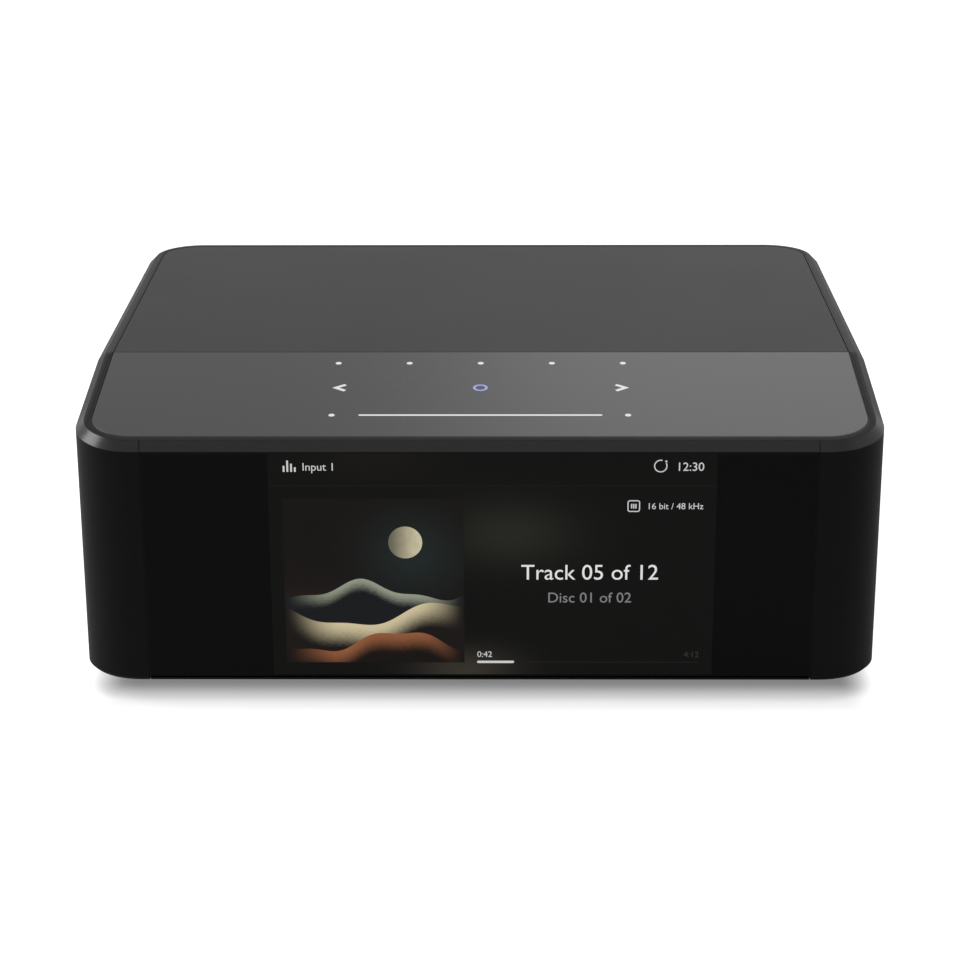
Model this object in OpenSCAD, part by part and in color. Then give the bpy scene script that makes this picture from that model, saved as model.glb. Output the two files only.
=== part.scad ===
// Network music streamer: a low desktop box with a wraparound housing, a glossy front glass
// over a display, a sloping touch panel and a row of sockets at the rear.
// Millimetres, +Z up, front towards -Y, origin on the table under the middle of the box.

/* [Housing] */
// Width of the housing
body_w = 220; // [205:1:260]
// Depth of the housing from the front glass to the rear rim
body_d = 186; // [176:1:230]
// Height of the flat top above the table
body_h = 84; // [82:1:100]
// Radius of the upright corners
corner_r = 16.5; // [14:0.5:22]
// Thickness of the housing wall
wall = 3; // [2.5:0.1:4]
// Clear height under the housing
foot_gap = 6.7; // [5:0.1:9]
// Bevel around the top rim
rim_bevel = 2.4; // [1.5:0.1:3]
// Bevel around the bottom edge
base_bevel = 1; // [0.5:0.1:2]

/* [Top] */
// Depth of the sloping front part
slope_run = 57.6; // [54:0.1:66]
// Angle of the slope in degrees
slope_deg = 8.2; // [6:0.1:9]
// Width of the flat land inside the rim bevel
rim_land = 1.4; // [1:0.1:2.5]
// Gap around the two top panels
panel_gap = 0.5; // [0.3:0.05:0.8]
// Gap between the two top panels
crease_gap = 0.3; // [0.2:0.05:0.6]
// Thickness of the touch panel
panel_t = 2; // [1.5:0.1:2.5]
// Bevel on the edges of the glass and of the top panels
edge_bevel = 0.4; // [0.2:0.1:0.8]
// Width of the ledge that carries the panels
ledge_w = 4; // [3:0.5:6]
// Thickness of the ledge
ledge_t = 2; // [1.5:0.1:2.5]
// Width of the cross rail under the crease
rail_w = 12; // [8:1:16]
// Thickness of the light guide under the touch panel
guide_t = 2.5; // [2:0.1:3]

/* [Front] */
// Width of the housing's corner beside each front seam
front_corner = 19; // [17:0.5:24]
// Width of the front seams
seam_gap = 0.3; // [0.2:0.05:0.5]
// Depth of the front frame
front_depth = 8; // [7.5:0.1:10]
// Thickness of the front glass
glass_t = 2; // [1.5:0.1:2.5]
// Height of the lip under the front glass
front_lip = 1.1; // [0.8:0.1:1.4]
// Thickness of the mounting tapes
tape_t = 0.3; // [0.2:0.05:0.5]
// Width of the lit display
display_w = 121; // [100:1:130]
// Distance of the display's middle to the right of the housing's middle
display_x = 3.6; // [-6:0.1:6]
// Border from the lit display to the edge of the front glass, above and below
display_margin = 1.25; // [1.2:0.05:4]
// Thickness of the display module
lcd_t = 4; // [3:0.1:4.5]
// Thickness of the sheet bracket behind the display
bracket_t = 1; // [0.8:0.1:1.5]

/* [Rear] */
// Width of the housing's corner beside the rear window
rear_corner = 18; // [17:0.5:19]
// Height of the wall under the rear window
rear_sill = 4; // [3:0.5:6]
// Height of the wall over the rear window
rear_head = 9; // [8:0.5:11]
// Thickness of the rear panel
rear_panel_t = 1.5; // [1:0.1:2]
// Reach of the phono sockets behind the housing
jack_reach = 7; // [6:0.5:9]
// Clearance between a socket and its hole in the rear panel
socket_fit = 0.25; // [0.15:0.05:0.35]
// Distance of the mains inlet from the left end of the rear window
inlet_in = 18; // [17:0.5:24]
// Distance of the network socket from the right end of the rear window
lan_in = 119; // [117:0.5:119]
// Distance of the USB-A socket from the right end
usb_a_in = 98; // [96:0.5:100]
// Distance of the video socket from the right end
hdmi_in = 77; // [75:0.5:79]
// Distance of the USB-C socket from the right end
usb_c_in = 60; // [58:0.5:62]
// Distance of the optical socket from the right end
optical_in = 45; // [44:0.5:46]
// Distance of the digital phono socket from the right end
coax_in = 29; // [29:0.5:31]
// Distance of the first small socket from the right end
mini_in = 19; // [18.5:0.5:19.5]
// Pitch of the small sockets
mini_pitch = 8.5; // [8:0.5:9]
// Distance of the first balanced socket from the right end
xlr_in = 118; // [117:0.5:118]
// Pitch of the balanced sockets
xlr_pitch = 32; // [32:0.5:34]
// Distance of the first phono socket from the right end
rca_in = 58; // [56:0.5:59]
// Pitch of the phono sockets
rca_pitch = 18; // [16:0.5:18]

/* [Base and boards] */
// Height of the base plate's underside above the housing's bottom edge
base_inset = 0.8; // [0.5:0.1:1.5]
// Thickness of the base plate
base_t = 1.5; // [1:0.1:2]
// Height of the pillars under the lower boards
standoff_h = 8; // [7:0.5:10]
// Distance of the audio board's upper side below the flat top
audio_drop = 41.8; // [40:0.2:41.8]
// Thickness of the circuit boards
board_t = 1.6; // [1.2:0.1:2]
// Radius of the feet
foot_r = 12; // [9:0.5:14]
// Distance of the feet from the housing's sides
foot_inset = 28; // [24:1:34]
// Distance of the headphone sockets behind the front
headphone_y = 34; // [32:0.5:38]
// Radius of the headphone sockets' bore
headphone_r = 3.25; // [3.2:0.05:3.4]
// Radius of the screw shanks
screw_r = 1.2; // [1:0.1:1.4]
// Clearance around screws, pillars and plates
fit = 0.3; // [0.2:0.05:0.4]

/* [Hidden] */
$fn = 64;

// Planes of the housing
front_y = -(body_d + jack_reach) / 2;
rear_y = front_y + body_d;
mid_y = (front_y + rear_y) / 2;
crease_y = front_y + slope_run;
big = 4 * body_w;

// The sloping part, measured along the slope from the crease to the foot of the front bevel
slope_len = (slope_run + rim_bevel * sin(slope_deg)) / cos(slope_deg);
rim_inset = rim_bevel + rim_land;
recess_t = panel_t + tape_t;
shelf_t = recess_t + ledge_t;
window_inset = rim_inset + ledge_w;

// The front frame, its glass and display
front_w = body_w - 2 * front_corner;
flange_t = 2.5;
flange_w = 6;
frame_y = front_y + front_depth;
bevel_foot_z = body_h - slope_len * sin(slope_deg) - rim_bevel * cos(slope_deg);
glass_w = front_w - 2 * seam_gap;
glass_z0 = foot_gap + front_lip;
glass_z1 = bevel_foot_z - seam_gap / 2;
glass_h = glass_z1 - glass_z0;
glass_z = (glass_z0 + glass_z1) / 2;
lcd_border = 0.9;
lcd_play = 0.2;
lcd_w = display_w + 2 * lcd_border;
lcd_h = glass_h - 2 * display_margin + 2 * lcd_border;
front_window_s = (slope_run - front_depth) / cos(slope_deg) + 1.5;
front_screw_x = front_w / 2 - flange_w / 2;
front_screw_z = [glass_z - glass_h / 4, glass_z + glass_h / 4];
bracket_lap = 8;
bracket_w = lcd_w + 2 * bracket_lap;
bracket_h = lcd_h - 6;
bracket_screw_x = [display_x - bracket_w / 2 + bracket_lap / 2, display_x + bracket_w / 2 - bracket_lap / 2];
bracket_screw_z = [glass_z - bracket_h / 3, glass_z + bracket_h / 3];

// The touch marks, placed along the slope from the crease
mark_s = [rail_w / 2 + 2, rail_w / 2 + 18.3, rail_w / 2 + 35.5];
mark_x = 40.4;
bar_half = 33;
led_xs = [for (i = [-2 : 2]) i * mark_x / 2];
led_size = [1.6, 0.9, 0.6];
led_room = 2.2;
touch_s0 = rail_w / 2 + fit;
touch_s1 = (slope_run - front_depth - flange_t) / cos(slope_deg) - 1.5;
touch_board_t = 1.2;
guide_w = 2 * mark_x + 14;
touch_board_w = guide_w + 60;
touch_under = panel_t + guide_t + touch_board_t;

// The base and the boards
base_z = foot_gap + base_inset;
base_top = base_z + base_t;
board_z = base_top + standoff_h;
board_top = board_z + board_t;
audio_top = body_h - audio_drop;
audio_z = audio_top - board_t;
spacer_h = audio_z - board_top;
pillar_r = 3.2;
in_w = body_w - 2 * wall;
boss_r = 4;
boss_h = 14;
boss_x = in_w / 2 - boss_r + 0.4;
side_board_d = 18;
headphone_pos = front_y + headphone_y;
boss_ys = [headphone_pos - side_board_d / 2 - boss_r - 1, rear_y - 18];
foot_xs = [-body_w / 2 + foot_inset, body_w / 2 - foot_inset];
foot_ys = [front_y + foot_inset, rear_y - foot_inset];
thread_fit = 0.05;
head_r = 2.6;
head_h = 1.6;

// The rear window and the plane of the rear panel
rear_w = body_w - 2 * rear_corner;
face_y = rear_y - wall + rear_panel_t;
rear_z0 = foot_gap + rear_sill;
rear_z1 = body_h - rear_head;
rear_h = rear_z1 - rear_z0;
rear_z = (rear_z0 + rear_z1) / 2;
rear_r = 4;
rear_lap = 6;
xlr_xs = [rear_w / 2 - xlr_in, rear_w / 2 - xlr_in + xlr_pitch];
rear_screw_in = rear_lap / 2 + 0.4;
rear_screw_xs = [rear_screw_in - rear_w / 2, (xlr_xs[0] + xlr_xs[1]) / 2, rear_w / 2 - rear_screw_in];
rear_screw_zs = [rear_z0 + rear_screw_in, rear_z1 - rear_screw_in];
board_y1 = rear_y - wall - flange_t - 0.5;
socket_reach = jack_reach + rear_y - face_y;

// Outlines of the boards
side_board_l = 35;
side_board_x = in_w / 2 - 2;
side_board_x0 = side_board_x - side_board_l;
main_x0 = rear_w / 2 - 136;
main_x1 = in_w / 2 - 9;
main_y0 = headphone_pos + side_board_d / 2 + 3.5;
tongue_x1 = side_board_x0 - 8;
tongue_y0 = headphone_pos - 7.5;
audio_y0 = board_y1 - 63.5;
psu_x0 = 9 - in_w / 2;
psu_x1 = main_x0 - 6;
psu_mid_x = (psu_x0 + psu_x1) / 2;
psu_room = 5;
inlet_size = [20, 14, 22];
processor_at = [main_x0 + 64, main_y0 + 36];
processor_size = [20, 20, 2];
edge_in = 4.5;
spacer_at = [for (x = [main_x0 + edge_in, main_x1 - edge_in], y = [audio_y0 + edge_in, board_y1 - edge_in])
    [x, y]];
plug_room = 16;
main_screw_at = [[main_x0 + plug_room, tongue_y0 + edge_in], [tongue_x1 - plug_room, tongue_y0 + edge_in],
    [main_x1 - edge_in, main_y0 + edge_in]];
psu_y1 = face_y - inlet_size[2] - psu_room;
psu_screw_at = [for (x = [psu_x0 + edge_in, psu_x1 - edge_in], y = [main_y0 + edge_in, psu_y1]) [x, y]];
side_screw_at = [for (side = [-1, 1], dy = [-1, 1])
    [side * (side_board_x0 + edge_in), headphone_pos + dy * (side_board_d / 2 - 3)]];
low_screw_at = concat(main_screw_at, psu_screw_at, side_screw_at);

// Sizes of the sockets, each seated on its board
inlet_x = inlet_in - rear_w / 2;
inlet_flange = [23, 16.5, 1.2];
inlet_z = board_top + inlet_size[1] / 2;
inlet_bore = 4.3;
inlet_depth = 12;
inlet_pin_r = 1.15;
lan_x = rear_w / 2 - lan_in;
lan_size = [16, 13.5, 21];
lan_z = board_top + lan_size[1] / 2;
lan_depth = 12.5;
usb_a_x = rear_w / 2 - usb_a_in;
usb_a_size = [14.5, 7, 14];
usb_a_z = board_top + usb_a_size[1] / 2;
usb_a_depth = 10;
usb_c_x = rear_w / 2 - usb_c_in;
usb_c_size = [9, 3.3, 8];
usb_c_z = board_top + usb_c_size[1] / 2;
usb_c_depth = 6.5;
hdmi_x = rear_w / 2 - hdmi_in;
hdmi_size = [15.2, 6, 12];
hdmi_z = board_top + hdmi_size[1] / 2;
hdmi_depth = 8.5;
skin = 0.4;
proud = 0.4;
optical_x = rear_w / 2 - optical_in;
optical_size = [10, 10.2, 14];
optical_z = board_top + optical_size[1] / 2;
optical_mouth = 6.2;
optical_depth = 9;
hinge_r = 0.5;
hinge_pin = 0.95;
hinge_fit = 0.05;
hinge_dz = 3.4;
hinge_in = 0.9;
flap_t = 0.7;
flap_play = 0.15;
rca_r = 4.15;
rca_skin = 0.6;
rca_hole_r = 1.65;
rca_collar = [5.4, 1.2];
rca_block = [10, 13, 11];
rca_lift = 8;
rca_xs = [for (i = [0 : 2]) rear_w / 2 - rca_in + i * rca_pitch];
rca_at = concat([[rear_w / 2 - coax_in, board_top + rca_lift]], [for (x = rca_xs) [x, audio_top + rca_lift]]);
xlr_lift = 13;
xlr_z = audio_top + xlr_lift;
xlr_r = 10.2;
xlr_bore = 8.6;
xlr_depth = 14;
xlr_plate = [26, 29, 1.1];
xlr_pin_r = 1.2;
xlr_pin_ring = 3.96;
mini_bore = 1.8;
mini_nose = 3;
mini_size = [7, 6, 12];
mini_lift = mini_size[1] / 2;
mini_xs = [rear_w / 2 - mini_in, rear_w / 2 - mini_in + mini_pitch];
mini_at = [[mini_xs[0], board_top + mini_lift], [mini_xs[1], board_top + mini_lift],
    [mini_xs[1], audio_top + mini_lift]];
headphone_body = [28, 13, 13];
headphone_nose = 6;
headphone_z = board_top + headphone_body[2] / 2;
headphone_sink = 0.4;
headphone_depth = 27;

// Pieces on the boards, those of the power supply in line behind each other from the inlet forward
sink_side = 46;
sink_plate = 4;
sink_fin = [1.5, sink_side, 12];
sink_fins = 10;
memory_size = [10, 13, 1.1];
wifi_size = [20, 26, 2.6];
antenna_size = [44, 9, 1];
dac_size = [9, 9, 1.2];
audio_cap = [4, 11];
header_size = [40, 5];
part_gap = 0.8;
choke_ring = 7.5;
choke_wire = 4.5;
choke_y = psu_y1 - choke_ring - choke_wire;
bulk_cap = [9, 30];
bulk_y = choke_y - choke_ring - choke_wire - part_gap - bulk_cap[0];
coil_core = [30, 14, 24];
coil_bobbin = [24, 26, 20];
coil_y = bulk_y - bulk_cap[0] - part_gap - coil_bobbin[1] / 2;
output_cap = [5, 16];
output_pitch = 11;
lead_plug = [7, 1.2, 6];
lead_pitch = 2.4;
wire_r = 0.9;

// Flat outlines

module rounded_rect(w, d, r) {
    square([w - 2 * r, d], center = true);
    square([w, d - 2 * r], center = true);
    for (sx = [-1, 1], sy = [-1, 1])
        translate([sx * (w / 2 - r), sy * (d / 2 - r)]) circle(r);
}

// A slot with round ends
module slot(w, h) {
    square([w - h, h], center = true);
    for (side = [-1, 1]) translate([side * (w - h) / 2, 0]) circle(h / 2);
}

// Outline of the housing seen from above, inset on all sides
module plan(inset) {
    translate([0, mid_y]) rounded_rect(body_w - 2 * inset, body_d - 2 * inset, corner_r - inset);
}

// Outline of the sloping part in its own plane, inset on all sides and mirrored past the crease
module slope_plan(inset) {
    rounded_rect(body_w - 2 * inset, 2 * (slope_len - inset), corner_r - inset);
}

// Frames and half spaces

// The plane of the sloping top: X to the right, -Y down the slope, +Z out of it
module on_slope() {
    translate([0, crease_y, body_h]) rotate([slope_deg, 0, 0]) children();
}

// The plane of the rear panel: X to the right, Y up, +Z into the housing
module on_rear(x, z) {
    translate([x, face_y, z]) rotate([90, 0, 0]) children();
}

// Everything behind the mitre plane through the crease
module behind_crease(gap) {
    translate([0, crease_y, body_h]) rotate([slope_deg / 2, 0, 0])
        translate([-big / 2, gap, -big / 2]) cube(big);
}

// Everything in front of the mitre plane through the crease
module before_crease(gap) {
    translate([0, crease_y, body_h]) rotate([slope_deg / 2, 0, 0])
        translate([-big / 2, -big - gap, -big / 2]) cube(big);
}

// Everything at least t below the two top planes
module under_top(t) {
    bend_y = crease_y + t * tan(slope_deg / 2);
    nose_y = front_y - 1;
    translate([-body_w / 2 - 1, 0, 0]) rotate([90, 0, 90]) linear_extrude(body_w + 2)
        polygon([[nose_y, -1], [rear_y + 1, -1], [rear_y + 1, body_h - t], [bend_y, body_h - t],
            [nose_y, body_h - t - (bend_y - nose_y) * tan(slope_deg)]]);
}

// Slabs between two depths under the rear top plane or under the slope
module rear_slab(inset, low, high, gap) {
    intersection() {
        translate([0, 0, body_h + low]) linear_extrude(high - low) plan(inset);
        behind_crease(gap);
    }
}

module front_slab(inset, low, high, gap) {
    intersection() {
        on_slope() translate([0, 0, low]) linear_extrude(high - low) slope_plan(inset);
        before_crease(gap);
    }
}

// A tall block whose upper edge is bevelled at 45 degrees and flares outward below the bevel
module flared_block(w, d, r, bevel) {
    flare = body_h / 4;
    deep = 2 * body_h;
    module section(half) {
        out = half + flare;
        polygon([[-out, -deep], [out, -deep], [out, -bevel - flare], [half - bevel, 0], [bevel - half, 0],
            [-out, -bevel - flare]]);
    }
    translate([0, d / 2 - r, 0]) rotate([90, 0, 0]) linear_extrude(d - 2 * r) section(w / 2);
    translate([r - w / 2, 0, 0]) rotate([90, 0, 90]) linear_extrude(w - 2 * r) section(d / 2);
    for (turn = [0 : 3])
        translate([(turn == 0 || turn == 3 ? 1 : -1) * (w / 2 - r), (turn < 2 ? 1 : -1) * (d / 2 - r), 0])
            rotate([0, 0, 90 * turn]) rotate_extrude(angle = 90)
                polygon([[0, -deep], [r + flare, -deep], [r + flare, -bevel - flare], [r - bevel, 0], [0, 0]]);
}

// The outer form of the whole housing, bevelled around its rim and its bottom edge
module housing_block() {
    intersection() {
        translate([0, 0, foot_gap]) linear_extrude(body_h) plan(0);
        translate([0, mid_y, body_h]) flared_block(body_w, body_d, corner_r, rim_bevel);
        on_slope() translate([0, body_d, 0])
            flared_block(body_w, 2 * (slope_len + body_d), corner_r, rim_bevel);
        translate([0, mid_y, foot_gap]) mirror([0, 0, 1]) flared_block(body_w, body_d, corner_r, base_bevel);
    }
}

// The shallow recess that both top panels lie in
module panel_recess() {
    long_d = 2 * body_d;
    module outline() rounded_rect(body_w - 2 * rim_inset, long_d, corner_r - rim_inset);
    difference() {
        intersection() {
            translate([0, rear_y - rim_inset - long_d / 2, body_h / 2])
                linear_extrude(body_h / 2 + wall) outline();
            on_slope() translate([0, rim_inset - slope_len + long_d / 2, -body_h / 2])
                linear_extrude(body_h / 2 + wall) outline();
        }
        under_top(recess_t);
    }
}

// The openings inside the ledge, behind the cross rail and in front of it
module rear_ledge_window() {
    rear_edge = rear_y - window_inset;
    rail_edge = crease_y + rail_w / 2;
    translate([0, (rear_edge + rail_edge) / 2, 0]) linear_extrude(2 * body_h)
        rounded_rect(body_w - 2 * window_inset, rear_edge - rail_edge, corner_r - window_inset);
}

module front_ledge_window() {
    on_slope() translate([0, -(front_window_s + rail_w / 2) / 2, -2 * shelf_t]) linear_extrude(3 * shelf_t)
        rounded_rect(body_w - 2 * window_inset, front_window_s - rail_w / 2, corner_r - window_inset);
}

// Housing

module side_shell() {
    color("#2b2c2f") difference() {
        union() {
            difference() {
                housing_block();
                intersection() {
                    linear_extrude(body_h) plan(wall);
                    under_top(shelf_t);
                }
            }
            intersection() {
                union() {
                    shell_bosses();
                    shell_flanges();
                }
                linear_extrude(body_h) plan(wall / 2);
                under_top(recess_t);
            }
        }
        panel_recess();
        rear_ledge_window();
        front_ledge_window();
        translate([-front_w / 2, front_y - 1, -1]) cube([front_w, front_depth + 1, 2 * body_h]);
        on_rear(0, rear_z) translate([0, 0, -2 * wall]) linear_extrude(2 * wall + rear_panel_t)
            rounded_rect(rear_w, rear_h, rear_r);
        on_rear(0, rear_z) linear_extrude(rear_panel_t + flange_t + 1)
            rounded_rect(rear_w - 2 * rear_lap, rear_h - 2 * rear_lap, rear_r);
        for (side = [-1, 1]) translate([side * (in_w / 2 - 1), headphone_pos, headphone_z])
            rotate([0, side * 90, 0]) cylinder(r = headphone_nose + fit, h = wall + 2);
        for (x = [-boss_x, boss_x], y = boss_ys) translate([x, y, 0])
            cylinder(r = screw_r + thread_fit, h = base_top + 10);
        for (x = [-front_screw_x, front_screw_x], z = front_screw_z) translate([x, frame_y - 1, z])
            rotate([-90, 0, 0]) cylinder(r = screw_r + fit, h = flange_t + 2);
        for (x = rear_screw_xs, z = rear_screw_zs) on_rear(x, z)
            cylinder(r = screw_r + thread_fit, h = rear_panel_t + flange_t + 1);
    }
}

// Pillars on the side walls that take the base plate's screws
module shell_bosses() {
    for (x = [-boss_x, boss_x], y = boss_ys) translate([x, y, base_top]) cylinder(r = boss_r, h = boss_h);
}

// Upright flanges behind the front frame and a frame behind the rear window
module shell_flanges() {
    for (side = [-1, 1]) translate([side < 0 ? -in_w / 2 - 1 : front_w / 2 - flange_w, frame_y, base_top + fit])
        cube([in_w / 2 + 1 - front_w / 2 + flange_w, flange_t, body_h]);
    translate([-in_w / 2 - 1, rear_y - wall - flange_t, base_top + fit]) cube([in_w + 2, flange_t + 1, body_h]);
}

module front_bezel() {
    tape_y = front_y + glass_t + tape_t;
    pillar_t = 2.5;
    rim = 6;
    left = -front_w / 2 + seam_gap;
    lcd_left = display_x - lcd_w / 2 - lcd_play;
    lcd_right = display_x + lcd_w / 2 + lcd_play;
    color("#1d1d1f") difference() {
        intersection() {
            housing_block();
            translate([left, front_y - 1, 0]) cube([glass_w, front_depth + 1, 2 * body_h]);
        }
        panel_recess();
        translate([left - 1, front_y - 1, glass_z0 - seam_gap / 2])
            cube([glass_w + 2, glass_t + tape_t + 1, glass_h + seam_gap]);
        translate([lcd_left, front_y, glass_z - lcd_h / 2 - lcd_play])
            cube([lcd_right - lcd_left, front_depth + 1, lcd_h + 2 * lcd_play]);
        for (span = [[left + rim, lcd_left - bracket_lap], [lcd_right + bracket_lap, -left - rim]])
            translate([span[0], tape_y + pillar_t, glass_z0 + rim / 2])
                cube([span[1] - span[0], front_depth, glass_h - rim]);
        for (x = [-front_screw_x, front_screw_x], z = front_screw_z) translate([x, tape_y + pillar_t / 2, z])
            rotate([-90, 0, 0]) cylinder(r = screw_r + thread_fit, h = front_depth);
        for (x = bracket_screw_x, z = bracket_screw_z) translate([x, tape_y + pillar_t / 2, z])
            rotate([-90, 0, 0]) cylinder(r = screw_r + thread_fit, h = front_depth);
    }
}

module front_glass() {
    color("#0b0b0d") intersection() {
        translate([-glass_w / 2, front_y, glass_z0]) cube([glass_w, glass_t, glass_h]);
        translate([0, front_y, glass_z]) rotate([90, 0, 0]) flared_block(glass_w, glass_h, 1, edge_bevel);
    }
}

module glass_tape() {
    color("#202020") translate([0, front_y + glass_t + tape_t, glass_z]) rotate([90, 0, 0])
        linear_extrude(tape_t) difference() {
            square([glass_w - 1, glass_h - seam_gap], center = true);
            translate([display_x, 0]) square([lcd_w + 2 * lcd_play, lcd_h + 2 * lcd_play], center = true);
        }
}

module lcd_module() {
    rim = 3;
    color("#3b4048") translate([display_x, front_y + glass_t, glass_z]) rotate([-90, 0, 0]) {
        linear_extrude(lcd_t - 0.6) square([lcd_w, lcd_h], center = true);
        linear_extrude(lcd_t) square([lcd_w - 2 * rim, lcd_h - 2 * rim], center = true);
    }
}

module lcd_foam() {
    pad = front_depth - glass_t - lcd_t;
    color("#303236") for (sx = [-1, 1])
        translate([display_x + sx * lcd_w / 3, frame_y, glass_z]) rotate([90, 0, 0])
            linear_extrude(pad) square([10, lcd_h * 0.7], center = true);
}

module lcd_bracket() {
    slot_z = board_top - glass_z;
    color("#b9bcc0") translate([display_x, frame_y + bracket_t, glass_z]) rotate([90, 0, 0])
        linear_extrude(bracket_t) difference() {
            square([bracket_w, bracket_h], center = true);
            translate([0, slot_z]) square([32, 6], center = true);
            for (sx = [-1, 1]) translate([sx * lcd_w / 6, 8]) rounded_rect(24, 20, 3);
            for (x = bracket_screw_x, z = bracket_screw_z) translate([x - display_x, z - glass_z])
                circle(screw_r + fit);
        }
}

module rear_top_cover() {
    hook = [1.5, 10];
    hook_x = body_w / 2 - window_inset - fit;
    barb = ledge_w / 4;
    under = body_h - shelf_t - 0.2;
    color("#46474a") {
        intersection() {
            rear_slab(rim_inset + panel_gap, -recess_t, 0, crease_gap / 2);
            translate([0, mid_y, body_h]) flared_block(body_w - 2 * (rim_inset + panel_gap),
                body_d - 2 * (rim_inset + panel_gap), corner_r - rim_inset - panel_gap, edge_bevel);
        }
        for (side = [0, 1], y = [crease_y + 28, rear_y - 36]) mirror([side, 0, 0]) {
            translate([hook_x - hook[0], y - hook[1] / 2, under - 2 * barb])
                cube([hook[0], hook[1], shelf_t - recess_t + 0.2 + 2 * barb]);
            translate([hook_x, y + hook[1] / 2, under]) rotate([90, 0, 0]) linear_extrude(hook[1])
                polygon([[0, 0], [fit + barb, 0], [0, -2 * barb]]);
        }
    }
}

// Touch panel and its lighting

module touch_panel() {
    inset = rim_inset + panel_gap;
    color("#5f5f62") intersection() {
        front_slab(inset, -panel_t, 0, crease_gap / 2);
        on_slope() flared_block(body_w - 2 * inset, 2 * (slope_len - inset), corner_r - inset, edge_bevel);
    }
}

module touch_tape() {
    color("#202020") difference() {
        front_slab(rim_inset + 2 * panel_gap, -recess_t, -panel_t, crease_gap);
        front_ledge_window();
    }
}

// Places of the small lamps under the marks
module at_leds() {
    for (x = led_xs) translate([x, -mark_s[0]]) children();
    for (x = [-mark_x, 0, mark_x]) translate([x, -mark_s[1]]) children();
    for (x = [-mark_x, mark_x]) translate([x, -mark_s[2]]) children();
    for (i = [-2 : 2]) translate([i * bar_half / 2.5, -mark_s[2]]) children();
}

module light_guide() {
    color("#e8eef2") on_slope() difference() {
        translate([-guide_w / 2, -touch_s1, -panel_t - guide_t]) cube([guide_w, touch_s1 - touch_s0, guide_t]);
        translate([0, 0, -panel_t - guide_t - 1]) at_leds() cylinder(r = led_room / 2, h = 1 + 2 * led_size[2]);
    }
}

module touch_board() {
    color("#1f5b3a") on_slope() translate([-touch_board_w / 2, -touch_s1, -touch_under])
        cube([touch_board_w, touch_s1 - touch_s0, touch_board_t]);
}

module touch_leds() {
    color("#f4f1dc") on_slope() translate([0, 0, -panel_t - guide_t + led_size[2] / 2]) at_leds()
        cube(led_size, center = true);
}

// Base and feet

module base_plate() {
    vent = [3, 22];
    color("#3a3b3e") difference() {
        translate([0, 0, base_z]) linear_extrude(base_t) difference() {
            plan(wall + fit);
            translate([-front_w / 2, front_y - 1]) square([front_w, front_depth + fit + 1]);
            for (bank = [-1, 1], i = [-6 : 6]) translate([bank * body_w / 4 + 6 * i, mid_y])
                rotate(90) slot(vent[1], vent[0]);
            for (x = [-boss_x, boss_x], y = boss_ys) translate([x, y]) circle(screw_r + fit);
            for (x = foot_xs, y = foot_ys) translate([x, y]) circle(screw_r + thread_fit);
        }
    }
}

module foot_bodies() {
    sole = 1.2;
    color("#18181a") for (x = foot_xs, y = foot_ys) translate([x, y, 0]) difference() {
        translate([0, 0, sole]) cylinder(r1 = foot_r, r2 = foot_r + 1, h = base_z - sole);
        translate([0, 0, sole - 1]) cylinder(r = foot_r - 2, h = 2);
        cylinder(r = head_r + fit, h = base_z - 1.5);
        cylinder(r = screw_r + fit, h = base_z + 1);
    }
}

module foot_pads() {
    color("#0f0f10") for (x = foot_xs, y = foot_ys) translate([x, y, 0]) rotate_extrude()
        polygon([[head_r + fit, 0.6], [head_r + fit + 0.6, 0], [foot_r - 2.8, 0], [foot_r - 2.2, 0.6],
            [foot_r - 2.2, 2.2], [head_r + fit, 2.2]]);
}

// A screw with its head at the origin and its shank along +Z
module screw(length) {
    translate([0, 0, -head_h]) difference() {
        cylinder(r = head_r, h = head_h);
        translate([0, 0, -0.1]) cylinder(r = 1.25, h = 1, $fn = 6);
    }
    cylinder(r = screw_r, h = length);
}

module foot_screws() {
    color("silver") for (x = foot_xs, y = foot_ys) translate([x, y, base_z - 1.5]) screw(base_t + 3.5);
}

module base_screws() {
    color("#8a8c90") for (x = [-boss_x, boss_x], y = boss_ys) translate([x, y, base_z]) screw(base_t + 8);
}

module rear_screws() {
    color("#2a2a2c") for (x = rear_screw_xs, z = rear_screw_zs) on_rear(x, z) screw(rear_panel_t + flange_t);
}

module front_screws() {
    color("silver") for (x = [-front_screw_x, front_screw_x], z = front_screw_z)
        translate([x, frame_y + flange_t, z]) rotate([90, 0, 0]) screw(flange_t + 4);
}

module bracket_screws() {
    color("silver") for (x = bracket_screw_x, z = bracket_screw_z)
        translate([x, frame_y + bracket_t, z]) rotate([90, 0, 0]) screw(bracket_t + 4);
}

// Boards and the pillars that carry them

module standoffs() {
    color("#c9a24a") for (p = concat(spacer_at, low_screw_at)) translate([p[0], p[1], base_top]) difference() {
        cylinder(r = pillar_r, h = standoff_h, $fn = 6);
        translate([0, 0, 1]) cylinder(r = screw_r + thread_fit, h = standoff_h);
    }
}

module board_spacers() {
    color("#c9a24a") for (p = spacer_at) translate([p[0], p[1], board_top]) {
        difference() {
            cylinder(r = pillar_r, h = spacer_h, $fn = 6);
            translate([0, 0, spacer_h - 8]) cylinder(r = screw_r + thread_fit, h = 9);
        }
        translate([0, 0, -board_t - 5]) cylinder(r = screw_r, h = board_t + 5);
    }
}

module board_screws() {
    color("silver") {
        for (p = low_screw_at) translate([p[0], p[1], board_top]) mirror([0, 0, 1]) screw(board_t + 5);
        for (p = spacer_at) translate([p[0], p[1], audio_top]) mirror([0, 0, 1]) screw(board_t + 5);
    }
}

module screw_holes(places) {
    for (p = places) translate(p) circle(screw_r + fit);
}

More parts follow.
